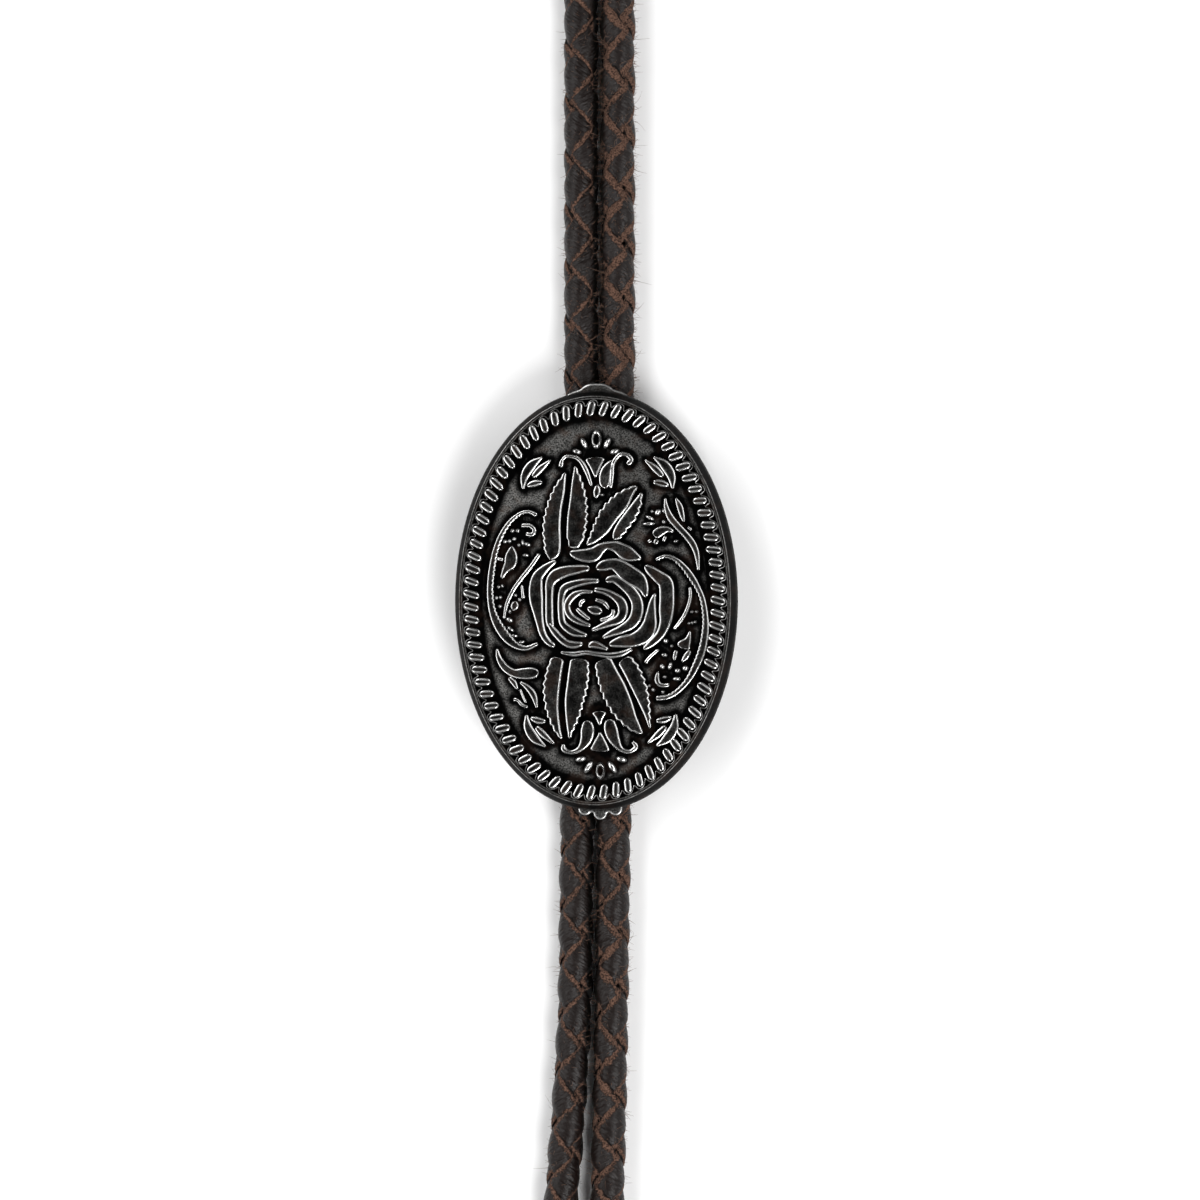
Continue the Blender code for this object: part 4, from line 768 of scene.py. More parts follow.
def pad(rows, rise, tooth_side=0, bead_side=0, edge_round=None, dish=0.00005, step=0.00015,
        flat=0.0):
    """One raised stroke with rounded ends, for rows of across, along and half width in metres.

    Along the curve u the half width is w(u), with w times sin at both ends so that they
    round off. Across, the section runs from the root up a wall, round an arc of radius r
    (offset w - r + r sin t, height rise - r + r cos t) and over a top that dips by dish.
    Teeth add a sawtooth to one side's width, and beads add the absolute value of a sine.
    """
    edge_round = edge_round or settings("slide").edge_round
    curve = spline(rows)
    run = arc_length(curve[:, :2])
    length = run[-1]
    cap = min(np.clip(max(curve[0, 2], curve[-1, 2]), *STROKE_CAP), 0.25 * length)
    turn = np.radians([10, 32, 58])
    body = np.linspace(cap, length - cap, max(4, round((length - 2 * cap) / step)))
    at = np.concatenate([cap * (1 - np.cos(turn)), body, length - cap * (1 - np.cos(turn[::-1]))])
    end = np.concatenate([np.sin(turn), np.ones(len(body)), np.sin(turn[::-1])])
    x, y, half = read_curve(curve, run, at).T
    middle = np.column_stack([x, y])
    side = left_of(unit(np.gradient(middle, at, axis=0)))
    half = np.maximum(half, STROKE_LEAST_HALF) * end
    share = np.sin(np.pi * at / length) ** 0.4
    teeth = max(2, round(length / TOOTH_PITCH))
    saw = (at / length * teeth) % 1.0
    saw = np.where(saw < TOOTH_CREST, saw / TOOTH_CREST, (1 - saw) / (1 - TOOTH_CREST))
    tooth = TOOTH_DEPTH * saw * share
    bead = BEAD_DEPTH * np.abs(np.sin(np.pi * at / BEAD_PITCH)) * share
    radius = np.minimum(edge_round, 0.62 * half)[:, None]
    top = rise * (0.72 + 0.28 * end)[:, None]
    bend = np.radians([90, 66, 44, 22, 0])
    heights = np.hstack([np.full_like(top, -RELIEF_ROOT), top - radius + radius * np.cos(bend),
                         top - dish])
    offsets = []
    for way in (1, -1):
        width = (half + tooth * (tooth_side == way) + bead * (bead_side == way))[:, None]
        inner = np.maximum(0.5 * (width - radius), width - radius - STROKE_SHOULDER)
        offsets.append(np.hstack([width + STROKE_FOOT, width - radius + radius * np.sin(bend),
                                  inner]))
    across = np.hstack([offsets[0], np.zeros_like(top), -offsets[1][:, ::-1]])
    height = np.hstack([heights, top - 1.15 * dish, heights[:, ::-1]])
    plan = middle[:, None, :] + side[:, None, :] * across[..., None]
    rings = np.dstack([plan, face_height(plan[..., 0], plan[..., 1]) + height])
    points, polygons = loft(rings)
    # Edge is 1 on the arc's crest, and pit is 1 at the foot and partly so on a broad top.
    half_edge = [0.0, 0.25, 0.6, 0.9, 1.0, 0.85, 0.2 + flat]
    edge = np.tile(half_edge + [flat] + half_edge[::-1], (len(at), 1))
    for rows_at in (slice(None, 2), slice(-2, None)):
        edge[rows_at] = np.maximum(edge[rows_at], 0.75 * (edge[rows_at] > 0))
    half_pit = [1.0, 0.55, 0.1, 0.0, 0.0, 0.0, 0.0]
    pit = np.tile(half_pit + [0.0] + half_pit[::-1], (len(at), 1))
    pit[:, 5:10] = np.outer(np.clip(half / STROKE_DARK_FROM, 0, 1), [0.12, 0.6, 0.68, 0.6, 0.12])
    floats = {"edge": edge.ravel(), "pit": pit.ravel()}
    return (points, polygons, floats), np.column_stack([x, y, half])


def field_rows(rows, fullness):
    """A table's shares of the field as across, along and half width in metres."""
    scale = (FIELD_HALF_WIDTH, FIELD_HALF_LENGTH, FIELD_HALF_WIDTH / 2 * fullness)
    return (np.array(rows) + (ORNAMENT_SHIFT, 0, 0)) * scale


def drop(across, along, length, width, turn, rise, hollow=False):
    """A low pebble: ellipses that shrink by their shares and are lifted along a round crown.

    A hollow one goes up to a crest at 0.85 of its size and down again to a pit.
    """
    sides = 20 if hollow else 14
    angle = around(sides)
    spin = math.radians(turn)
    axis = np.array([[math.cos(spin), math.sin(spin)], [-math.sin(spin), math.cos(spin)]])
    flat = np.column_stack([np.cos(angle) * length / 2, np.sin(angle) * width / 2])
    ring = flat @ axis * FIELD_HALF_WIDTH
    centre = np.array([(across + ORNAMENT_SHIFT) * FIELD_HALF_WIDTH, along * FIELD_HALF_LENGTH])
    if hollow:
        shares = np.array([0.0, 1.12, 1.08, 0.98, 0.85, 0.7, 0.56, 0.45, 0.0])
        lifts = [0.5, 0.85, 1.0, 0.85, 0.45, 0.12, 0.1]
        edge = [0, 0, 0.6, 1, 1, 0.9, 0.3, 0, 0]
        pit = [1, 1, 0.2, 0, 0, 0, 0.7, 1, 1]
    else:
        shares = np.array([0.0, 1.12, 1.04, 0.93, 0.74, 0.5, 0.25, 0.0])
        lifts = [0.35, 0.62, 0.82, 0.94, 0.99, 1.0]
        edge = [0, 0, 0.35, 0.75, 1, 0.85, 0.55, 0.5]
        pit = [1, 1, 0.7, 0.15, 0, 0, 0, 0]
    lifts = np.concatenate([[-RELIEF_ROOT, -RELIEF_ROOT], np.array(lifts) * rise])
    plan = centre + ring[None] * shares[:, None, None]
    top = face_height(plan[..., 0], plan[..., 1]) + lifts[:, None]
    points, polygons = revolve(np.dstack([plan, top]))
    spread = [1] + [sides] * (len(shares) - 2) + [1]
    floats = {"edge": np.repeat(edge, spread), "pit": np.repeat(pit, spread)}
    return (points, polygons, floats), [[*centre, min(length, width) / 2 * FIELD_HALF_WIDTH]]


def ellipse_ring(inset, angle):
    return np.stack([(HALF_WIDTH - inset) * np.cos(angle), (HALF_LENGTH - inset) * np.sin(angle)], -1)


def rope_places():
    """Even places round the rope border: point and outward direction."""
    closed = ellipse_ring(ROPE_INSET, np.linspace(0, 2 * math.pi, 2881))
    run = arc_length(closed)
    count = round(run[-1] / ROPE_PITCH)
    place = read_curve(closed, run, np.arange(count) * run[-1] / count)
    out = place / np.array([HALF_WIDTH - ROPE_INSET, HALF_LENGTH - ROPE_INSET]) ** 2
    return place, unit(out)


def turned(direction, angle):
    """Directions in the plane, turned clockwise by an angle."""
    cos, sin = math.cos(angle), math.sin(angle)
    return np.stack([direction[..., 0] * cos + direction[..., 1] * sin,
                     direction[..., 1] * cos - direction[..., 0] * sin], -1)


def rope_bodies(rise):
    """The rope border: a short slanted bar with round edges at each even place."""
    bodies = []
    rng = np.random.default_rng(11)
    place, out = rope_places()
    shares = np.array([-0.52, -0.3, 0.0, 0.3, 0.52])
    widths = np.array([0.4, 0.5, 0.52, 0.5, 0.42]) * MM
    for point, way in zip(place, turned(out, ROPE_SLANT)):
        long, wide = 1 + rng.normal(0, 0.04, 2)
        middle = point + np.outer(shares * ROPE_WIDTH * long, way)
        body, _ = pad(np.column_stack([middle, widths * wide]), rise * (1 + rng.normal(0, 0.03)),
                      edge_round=BAR_ROUND, dish=0.00002, step=0.0002, flat=0.3)
        bodies.append(body)
    return bodies


def rope_ridge():
    """A hair-thin ridge that loops round the outer end of every bar of the rope.

    At phase p from a bar's middle, the ridge lies out - dip exp(-(d / width)^2) outside the
    rope's own line, d being the phase's distance from the middle of the gap.
    """
    place, out = rope_places()
    per_bar = 18
    phase = np.arange(len(place) * per_bar) / per_bar
    closed = np.hstack([np.vstack([part, part[:1]]) for part in (place, out)])
    here = read_curve(closed, np.arange(len(closed)), phase)
    gap = (phase + 0.5) % 1.0
    gap = np.minimum(gap, 1 - gap)
    offset = RIDGE_OUT - RIDGE_DIP * np.exp(-(gap / RIDGE_DIP_WIDTH) ** 2)
    line = here[:, :2] + turned(unit(here[:, 2:]), ROPE_SLANT) * offset[:, None]
    side = left_of(unit(np.roll(line, -1, axis=0) - np.roll(line, 1, axis=0)))
    angle = around(6) + 0.3
    plan = line[:, None] + side[:, None] * (np.cos(angle) * RIDGE_RADIUS)[None, :, None]
    height = FACE_Z + RIDGE_LIFT + np.sin(angle) * RIDGE_RADIUS * 1.4
    rings = np.dstack([plan, np.broadcast_to(height, plan.shape[:2])])
    index = np.arange(len(line) * 6).reshape(-1, 6)
    points = rings.reshape(-1, 3)
    crest = np.tile(np.clip(np.sin(angle), 0, 1), len(line))
    polygons = outward(points, [ring_quads(np.vstack([index, index[:1]]))])
    return points, polygons, {"edge": crest * 0.7, "pit": 0.7 - 0.6 * crest}


def slide_plate(marks):
    """The cast plate: ellipses set in from the edge by the profile, then the domed field.

    marks holds each stroke's points and half widths. A point of the field is a recess by
    how near it is to the nearest stroke's edge or to the rope: fully at RECESS_NEAR and
    not at all past RECESS_FAR.
    """
    angle = around(320)
    top = FACE_Z + RIM_RISE
    flare = EDGE_FLARE
    # Inset, height, edge and pit of each ring, from the back round the edge to the field.
    profile = np.array([
        (HALF_WIDTH * 0.5, BACK_Z, 0, 0.3), (0.0012, BACK_Z, 0, 0.3), (BACK_CHAMFER, BACK_Z, 0, 0.3),
        (0.0001, BACK_Z + 0.00008, 0.3, 0.3), (0.0, BACK_Z + BACK_CHAMFER, 0.2, 0.3),
        (flare * 0.3, BACK_Z + 0.0009, 0, 0.8), (flare * 0.6, BACK_Z + 0.0016, 0, 0.95),
        (flare - 0.00005, top - 0.0002, 0, 0.95), (flare, top - 0.00008, 0.3, 0.4),
        (flare + 0.00007, top, 0.66, 0), (flare + 0.00016, top - 0.00006, 0.1, 0.6),
        (flare + 0.0003, top - 0.00007, 0.1, 0.6), (flare + 0.00039, top - 0.00001, 0.52, 0.15),
        (flare + 0.00047, top - 0.00008, 0.2, 0.5), (flare + 0.00052, top - 0.0002, 0, 0.9),
        (flare + RIM_WIDTH + 0.0001, FACE_Z + 0.00008, 0, 1),
        (flare + RIM_WIDTH + RIM_STEP, FACE_Z, 0, 1),
        (ROPE_INSET - 0.0008, FACE_Z, 0, 1), (ROPE_INSET, FACE_Z, 0, 1),
        (ROPE_INSET + 0.0008, FACE_Z, 0, 1), (FIELD_INSET - 0.0001, FACE_Z, 0, 0.9),
    ])
    halves = np.array([HALF_WIDTH, HALF_LENGTH]) - profile[:, :1]
    halves[0] = HALF_WIDTH / 2, HALF_LENGTH / 2
    shares = np.append(np.linspace(1.0, 0.1, 50), 0.04)
    halves = np.vstack([halves, np.outer(shares, (FIELD_HALF_WIDTH, FIELD_HALF_LENGTH))])
    plan = halves[:, None] * np.column_stack([np.cos(angle), np.sin(angle)])
    height = face_height(plan[..., 0], plan[..., 1])
    height[:len(profile)] = profile[:, 1:2]
    levels = np.dstack([plan, height])
    back = np.tile([0, 0, BACK_Z], (1, len(angle), 1))
    front = np.tile([0, 0, FACE_Z + DOME_RISE], (1, len(angle), 1))
    points, polygons = revolve(np.concatenate([back, levels, front]))
    edge, pit = np.zeros(len(points)), np.zeros(len(points))
    rings = slice(1, 1 + len(profile) * len(angle))
    edge[rings] = np.repeat(profile[:, 2], len(angle))
    pit[rings] = np.repeat(profile[:, 3], len(angle))
    pit[0] = 0.3
    field = np.flatnonzero((points[:, 2] > FACE_Z - 0.0001) & (pit < 0.05) & (edge < 0.05))
    x, y = points[field, :2].T
    near = np.full(len(field), 1.0)
    for start in range(0, len(marks), 400):
        mark = marks[start:start + 400].T
        gap = np.hypot(x[:, None] - mark[0], y[:, None] - mark[1]) - mark[2]
        near = np.minimum(near, gap.min(axis=1))
    rim_near = 1 - np.hypot(x / FIELD_HALF_WIDTH, y / FIELD_HALF_LENGTH)
    near = np.minimum(near, rim_near * FIELD_HALF_WIDTH * 1.1 + RECESS_NEAR)
    pit[field] = np.clip((RECESS_FAR - near) / (RECESS_FAR - RECESS_NEAR), 0, 1)
    return points, polygons, {"edge": edge, "pit": pit}


def ornament(rise):
    """Every raised shape of the field by its group, and the marks for the plate's recesses."""
    groups, marks = {}, []

    def add(group, made):
        groups.setdefault(group, []).append(made[0])
        marks.extend(np.asarray(made[1]).tolist())

    for rows in ROSE.values():
        add("rose", pad(field_rows(rows, ROSE_FULLNESS), rise, dish=0.00007))
    for rows, side in zip(LEAVES.values(), TOOTH_SIDES):
        add("leaves", pad(field_rows(rows, LEAF_FULLNESS), rise, tooth_side=side, dish=0.00008,
                          step=0.00012))
    for rows in TULIPS.values():
        add("sprays", pad(field_rows(rows, SPRAY_FULLNESS), rise))
    for flip, lift, shift, raise_by in CORNERS:
        for rows in CORNER_SPRIG.values():
            moved = np.array(rows) * (flip, lift, 1) + (shift, raise_by, 0)
            add("sprays", pad(field_rows(moved, SPRAY_FULLNESS), rise))
    for name, rows in SCROLLS.items():
        bead = {"left_crescent": 1, "right_crescent": -1}.get(name, 0)
        add("scrolls", pad(field_rows(rows, SCROLL_FULLNESS), rise, bead_side=bead,
                           edge_round=SCROLL_ROUND))
    for row in DROPS:
        crown = abs(row[1]) > 0.8
        add("sprays" if crown else "scrolls", drop(*row, rise * (1.0 if crown else DROP_SHARE)))
    for row in HOLLOW_DROPS:
        add("sprays", drop(*row, rise, hollow=True))
    return groups, np.array(marks)


# The clip and the tips

def arc(centre, radius, start, end, steps):
    angle = np.linspace(start, end, steps)
    return np.column_stack([centre[0] + radius * np.cos(angle), centre[1] + radius * np.sin(angle)])


def clip_strip():
    """The bent strip: its section's outline carried along the cords."""
    centre = (CLIP_CENTRE, CORD_Z)
    floor_angle = math.asin(min(1.0, CORD_Z / CLIP_OUTER))
    inner = arc(centre, CLIP_INNER, math.pi / 2, -CLIP_WRAP, 30)
    outer = arc(centre, CLIP_OUTER, -floor_angle, math.pi / 2, 30)
    right = np.vstack([inner, [(inner[-1][0], 0.0)], outer])
    outline = np.vstack([right, right[::-1] * (-1, 1)])
    half = CLIP_GRIP_LENGTH / 2
    y = np.array([-half, -half + 0.0002, 0.0, half - 0.0002, half])
    rings = np.stack([np.column_stack([outline[:, 0], np.full(len(outline), at), outline[:, 1]])
                      for at in y])
    return loft(rings)


def clip_tabs():
    """The clip's flat ends: their outline drawn in round a rounded edge and carried up."""
    across = np.linspace(-CLIP_TAB_WIDTH / 2, CLIP_TAB_WIDTH / 2, 181)
    brink = HALF_LENGTH * np.sqrt(1 - (across / HALF_WIDTH) ** 2)
    hump = spline(np.array(CLIP_HUMP) * (CLIP_TAB_WIDTH / 2, CLIP_HUMP_REACH))
    upper = brink + np.interp(np.abs(across), hump[:, 0], hump[:, 1])
    # The lower edge is three round lobes, the outer two a little shorter than the middle one.
    lobed = across + CLIP_LOBE_SHIFT
    valley = HALF_LENGTH + CLIP_TAB_REACH - CLIP_LOBE_RADIUS
    lower = np.where(np.abs(lobed) < CLIP_LOBE_PITCH, valley, brink - CLIP_TAB_TUCK)
    for lobe in (-1, 0, 1):
        off = 1 - ((lobed - lobe * CLIP_LOBE_PITCH) / CLIP_LOBE_RADIUS) ** 2
        bulge = valley - abs(lobe) * CLIP_LOBE_DROP + CLIP_LOBE_RADIUS * np.sqrt(np.clip(off, 0, None))
        lower = np.where(off > 0, np.maximum(lower, bulge), lower)
    outline = np.vstack([np.column_stack([across, upper]), np.column_stack([-across, -lower])])
    normal = left_of(unit(np.roll(outline, -1, axis=0) - np.roll(outline, 1, axis=0)))
    inward = np.sign(np.einsum("ij,ij->", normal, -outline))
    bend = np.radians([0, 30, 60, 90])
    fall, low = TAB_ROUND * (1 - np.sin(bend)), CLIP_TOP - CLIP_THICKNESS
    draw = TAB_ROUND * (1 - np.cos(bend))
    insets = [*draw[::-1], *draw, 0.0004, 0.00075]
    levels = [*(low + fall[::-1]), *(CLIP_TOP - fall), CLIP_TOP - 0.00002, CLIP_TOP - 0.00006]
    rings = np.stack([np.column_stack([outline + inward * normal * inset, np.full(len(outline), z)])
                      for inset, z in zip(insets, levels)])
    edge = np.repeat([0, 0, 0, 0, 0.2, 0.45, 0.7, 0.75, 0.3, 0.0], len(outline))
    pit = np.repeat([0.6, 0.6, 0.6, 0.6, 0.4, 0.1, 0, 0, 0.1, 0.35], len(outline))
    return *loft(rings), {"edge": edge, "pit": pit}


def tip_body(route):
    """A turned tip: its profile of distance and radius swept round the cord's end line."""
    before, end = np.array(route[-2:])
    axis = unit(end - before)
    mouth = end + (0, 0, CORD_Z) - axis * (TIP_SOCKET - GAP)
    bore = CORD_RADIUS + GAP
    collar = bore + TIP_WALL
    knob = TIP_END_DIAMETER / 2
    soft = TIP_WALL * 0.4
    taper = np.linspace(0, 1, 12)
    cone_far = TIP_SOCKET + TIP_COLLAR + (TIP_LENGTH * 0.72 - TIP_SOCKET - TIP_COLLAR) * taper
    cone = (collar - TIP_WALL * 0.5) + (knob * 1.15 - collar + TIP_WALL * 0.5) * taper ** 1.3
    ball = np.radians(np.linspace(-62, 78, 10))
    ball_far = TIP_LENGTH - knob + knob * np.sin(ball)
    profile = [(TIP_SOCKET, 0.0), (TIP_SOCKET, bore), (TIP_SOCKET * 0.5, bore), (0.0001, bore),
               (0.0, bore + 0.0001), (0.0, collar - soft), (soft * 0.3, collar - soft * 0.3),
               (soft, collar), (TIP_COLLAR, collar), (TIP_COLLAR * 1.1, collar - soft * 0.7),
               (TIP_COLLAR * 1.2, collar - soft), (TIP_SOCKET, collar - TIP_WALL * 0.45)]
    profile += list(zip(cone_far, cone))
    profile += [(TIP_LENGTH - knob * 2.4, knob * 0.72), (TIP_LENGTH - knob * 2.0, knob * 0.68)]
    profile += list(zip(ball_far, knob * np.cos(ball)))
    profile += [(TIP_LENGTH, 0.0)]
    far, radius = np.array(profile).T
    side = unit(np.cross(axis, (0, 0, 1.0)))
    up = np.cross(side, axis)
    angle = around(72)
    round_way = np.outer(np.cos(angle), side) + np.outer(np.sin(angle), up)
    levels = mouth + axis * far[:, None, None] + round_way[None] * radius[:, None, None]
    return revolve(levels)


# The braided cord

def smooth_route(route):
    """A dense cubic curve through the route's points, with tangents set by their spacing."""
    points = np.array(route)
    run = arc_length(points)
    chord = np.diff(run)[:, None, None]
    tangent = np.gradient(points, run, axis=0)
    t = np.linspace(0, 1, 40, endpoint=False)[None, :, None]
    a, b = points[:-1, None], points[1:, None]
    m, n = tangent[:-1, None] * chord, tangent[1:, None] * chord
    out = ((2 * t ** 3 - 3 * t ** 2 + 1) * a + (3 * t ** 2 - 2 * t ** 3) * b
           + (t ** 3 - 2 * t ** 2 + t) * m + (t ** 3 - t ** 2) * n)
    return np.vstack([out.reshape(-1, 3), points[-1:]]) + (0, 0, CORD_Z)


class Line:
    """A cord's centreline, read at any distance together with its sideways and up directions."""

    def __init__(self, route):
        self.curve = smooth_route(route)
        self.run = arc_length(self.curve)
        self.length = self.run[-1]
        along = unit(np.gradient(self.curve, self.run, axis=0))
        side = unit(np.cross(along, (0.0, 0.0, 1.0)))
        self.frames = np.hstack([self.curve, side, np.cross(side, along)])

    def place(self, at, angle, radius):
        """The point at distance at, turned angle round the line and radius out from it."""
        centre, side, up = np.split(read_curve(self.frames, self.run, at), 3, axis=-1)
        return centre + radius[..., None] * (np.cos(angle)[..., None] * side
                                             + np.sin(angle)[..., None] * up)

    def path(self, count):
        """Even points along the line, as lists."""
        return read_curve(self.curve, self.run, np.linspace(0, self.length, count)).tolist()


def lace_stations(length, windows):
    """Distances along the cord, close together inside the seen windows and wider elsewhere."""
    out = [0.0]
    while out[-1] < length:
        seen = any(low <= out[-1] <= high for low, high in windows)
        out.append(min(out[-1] + (SEEN_STEP if seen else HIDDEN_STEP), length))
    return np.array(out)


def cord_gap_shade(points):
    """Painted shade on the cords' inner sides, which face each other across the narrow gap, by the
    distance from the line midway between the two cords' routes: 1 by GAP_SHADE_NEAR, and 0 from
    GAP_SHADE_FAR and where the cords part."""
    left, right = np.array(LEFT_ROUTE), np.array(RIGHT_ROUTE)
    midway = np.interp(points[..., 1], left[::-1, 1], (left + right)[::-1, 0] / 2)
    near = np.abs(points[..., 0] - midway)
    dark = np.clip((GAP_SHADE_FAR - near) / (GAP_SHADE_FAR - GAP_SHADE_NEAR), 0, 1)
    return dark * (np.abs(points[..., 1]) < CORDS_PART)


def lace(line, at, sign, start, spin, seed, fray):
    """One flat lace of the four, wound round the cord over one lace and under the next.

    At distance s the lace's middle is at angle start + sign 2 pi s / pitch. A point q across
    it lies q cos(a) / R further round and -sign q sin(a) further along, a being the lace's
    lean. Its distance out is R0 + sign A cos(2 m), m being its middle's angle, plus its own
    thickness there: it is on top on two opposite sides of the cord and beneath between.
    """
    s = settings("cord")
    rng = np.random.default_rng(seed)
    radius = CORD_RADIUS * LACE_ROUND
    lean = math.atan(2 * math.pi * radius / s.braid_pitch)
    # Shares of the half width across the lace's outer side, then its three corners beneath.
    top = np.array([-1, -0.96, -0.9, -0.8, -0.6, -0.3, 0, 0.3, 0.6, 0.8, 0.9, 0.96, 1])
    share = np.concatenate([top, [0.7, 0, -0.7]])
    lift = np.concatenate([0.42 * (1 - np.abs(top) ** 3) ** 0.7 + 0.05, [-0.5, -0.5, -0.5]])
    flesh = np.interp(np.abs(share), [0.5, 0.78, 0.88], [0, 0.42, 1])
    # Painted shade: black on the lace's outer edge strip and its underside, where the laces shade each
    # other.
    painted_shade = np.interp(np.abs(share), [0.9, 1.0], [0, 1])
    flesh[-3:] = painted_shade[-3:] = 1
    rows = (len(at), len(share))
    ripple = np.interp(at, np.linspace(0, line.length, 400), rng.normal(0, 1, 400))[:, None]
    ragged = rng.normal(0, 1, rows)
    ragged = (ragged + np.roll(ragged, 1, axis=0)) * (np.abs(share) > 0.9)
    q = s.lace_width / 2 * share * (1 + 0.05 * ripple) + ragged * LACE_RAGGED
    middle = start + sign * 2 * math.pi * at[:, None] / s.braid_pitch
    turn = middle + q * math.cos(lean) / radius
    along = np.clip(at[:, None] - sign * q * math.sin(lean), 0.0, line.length)
    out = (BRAID_RADIUS - SWAY + sign * SWAY * np.cos(2 * middle) + ragged * LACE_RAGGED / 2
           + s.lace_thickness * (lift - 0.5))
    rings = line.place(along, turn + spin, out)
    rings[..., 2] = np.maximum(rings[..., 2], LACE_LOWEST)
    worn = np.where(at > FRAY_CHANGE, *fray[::-1])[:, None] * np.clip(1 + 0.35 * ripple, 0.5, 1.3)
    band = worn * ((np.abs(share) > 0.4) * (1 - flesh) * (lift > 0))
    # Painted shade also goes on the cords' facing sides, where the gap between them is shaded.
    floats = {"flesh": flesh + band, "painted_shade": np.maximum(painted_shade, cord_gap_shade(rings)),
              "u": np.broadcast_to(at[:, None] / math.cos(lean), rows), "v": q}
    return *loft(rings), {key: value.ravel() for key, value in floats.items()}


def core(line, at):
    """The plain filler that the laces are wound on, a thin tube seen only between them, painted black
    all over as the shade in those gaps.
    """
    angle = around(8)
    rows = (len(at), len(angle))
    rings = line.place(np.broadcast_to(at[:, None], rows), np.broadcast_to(angle, rows),
                       np.full(rows, CORD_RADIUS * CORE_SHARE))
    nothing = np.zeros(rows[0] * rows[1])
    return *loft(rings), {"flesh": nothing, "painted_shade": nothing + 1, "u": nothing, "v": nothing}


def braid(name, route, spin, seed, windows, fray):
    """A braided stretch as one mesh: its four laces and their core."""
    line = Line(route)
    at = lace_stations(line.length, windows)
    bodies = [core(line, np.unique(np.append(at[::6], at[-1])))]
    for number, (sign, start) in enumerate([(1, 0.0), (1, math.pi), (-1, 0.0), (-1, math.pi)]):
        bodies.append(lace(line, at, sign, start, math.radians(spin), seed + number, fray))
    points, polygons, floats = gather(bodies)
    uv = np.column_stack([floats.pop("u"), floats.pop("v")])
    made = build_object(name, points, polygons, "waxed_leather_lace", floats=floats, uv=uv, sharp=60)
    return made, line


def fibres(line, count, stretch, seed):
    """Loose hairs: thin three-sided tapers that leave the cord's skin and bend over."""
    rng = np.random.default_rng(seed)
    at = rng.uniform(*stretch, count)
    angle = rng.uniform(0, 2 * math.pi, count)
    length = (rng.gamma(1.8, 0.00017, count) + 0.0001)[:, None, None]
    root = line.place(at, angle, np.full(count, CORD_RADIUS - 0.0003))
    out = unit(line.place(at, angle, np.full(count, CORD_RADIUS + 0.0007)) - root)
    drift = unit(rng.normal(0, 1, (count, 3)))
    bend = unit(rng.normal(0, 1, (count, 3)))[:, None]
    way = unit(out + 0.7 * drift)[:, None]
    share = np.linspace(0, 1, 6)[:, None]
    spine = root[:, None] + way * share * (length + 0.00035) + bend * share ** 2 * length * 0.9
    spine[..., 2] = np.maximum(spine[..., 2], HAIR_LOWEST)
    side = unit(np.cross(way, bend))
    turn = around(3)[:, None]
    ring = np.cos(turn) * side + np.sin(turn) * np.cross(way, side)
    rings = spine[:, :, None] + ring[:, None] * HAIR_RADIUS * (1 - 0.75 * share)[:, None]
    index = np.arange(count * 18).reshape(count, 6, 3)
    points = rings.reshape(-1, 3)
    return points, outward(points, [ring_quads(index), index[:, 0, ::-1], index[:, -1]]), {}


# Operators

def dress(made, body, node=None):
    """Say which body a piece rides on and the solid it replaces."""
    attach(made, body)
    if node:
        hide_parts(node)


def soft_cord(made, line, exit_at, far_end, points, **more):
    """Read even points along a cord's line; nothing is kept or set on the piece."""
    line.path(points)


class BOLO_OT_materials(bpy.types.Operator):
    """Make the metals and leathers"""
    bl_idname = "bolo.materials"
    bl_label = "Materials"

    def execute(self, context):
        cast_silver()
        plated_steel()
        braided_leather()
        fibre_material()
        return {"FINISHED"}


class BOLO_OT_cord(bpy.types.Operator):
    """Braid the neck loop and both free ends, with their loose fibres"""
    bl_idname = "bolo.cord"
    bl_label = "Braided cord"

    def execute(self, context):
        # Each stretch's route, spin in degrees, seed, seen windows in metres, and how much
        # of its laces' cut sides shows up to FRAY_CHANGE and past it.
        loop, loop_line = braid("braid_loop", LOOP_ROUTE, 35, 1, [(0.02, 0.088), (0.545, 0.64)],
                                (0.22, 0.66))
        left, left_line = braid("braid_end_left", LEFT_ROUTE, 35, 21, [SEEN_END], (0.28, 0.28))
        right, right_line = braid("braid_end_right", RIGHT_ROUTE, 40, 41, [SEEN_END], (0.45, 0.45))
        points, polygons, _ = gather([fibres(loop_line, 900, HAIRY_END, 5),
                                      fibres(loop_line, 2600, (0.551, 0.612), 6),
                                      fibres(left_line, 600, HAIRY_END, 7),
                                      fibres(right_line, 900, HAIRY_END, 8)])
        fuzz = build_object("cord_fibres", points, polygons, "leather_fibre")
        dress(loop, "cord", "cord_loop")
        dress(left, "cord", "cord_end_left")
        dress(right, "cord", "cord_end_right")
        dress(fuzz, "cord")
        exit_y = CLIP_GRIP_LENGTH / 2
        soft_cord(loop, loop_line, (-CLIP_CENTRE, exit_y, CORD_Z), "object", 320)
        soft_cord(left, left_line, (-CLIP_CENTRE, -exit_y, CORD_Z), "fitting", 90,
                  with_pieces=["metal_tip_left"])
        soft_cord(right, right_line, (CLIP_CENTRE, -exit_y, CORD_Z), "fitting", 90,
                  with_pieces=["metal_tip_right"])
        return {"FINISHED"}


class BOLO_OT_tips(bpy.types.Operator):
    """Turn the two metal tips"""
    bl_idname = "bolo.tips"
    bl_label = "Metal tips"

    def execute(self, context):
        for name, route, node in (("metal_tip_left", LEFT_ROUTE, "tip_left"),
                                  ("metal_tip_right", RIGHT_ROUTE, "tip_right")):
            made = build_object(name, *tip_body(route), "plated_steel_strip", sharp=40)
            dress(made, "cord", node)
        return {"FINISHED"}


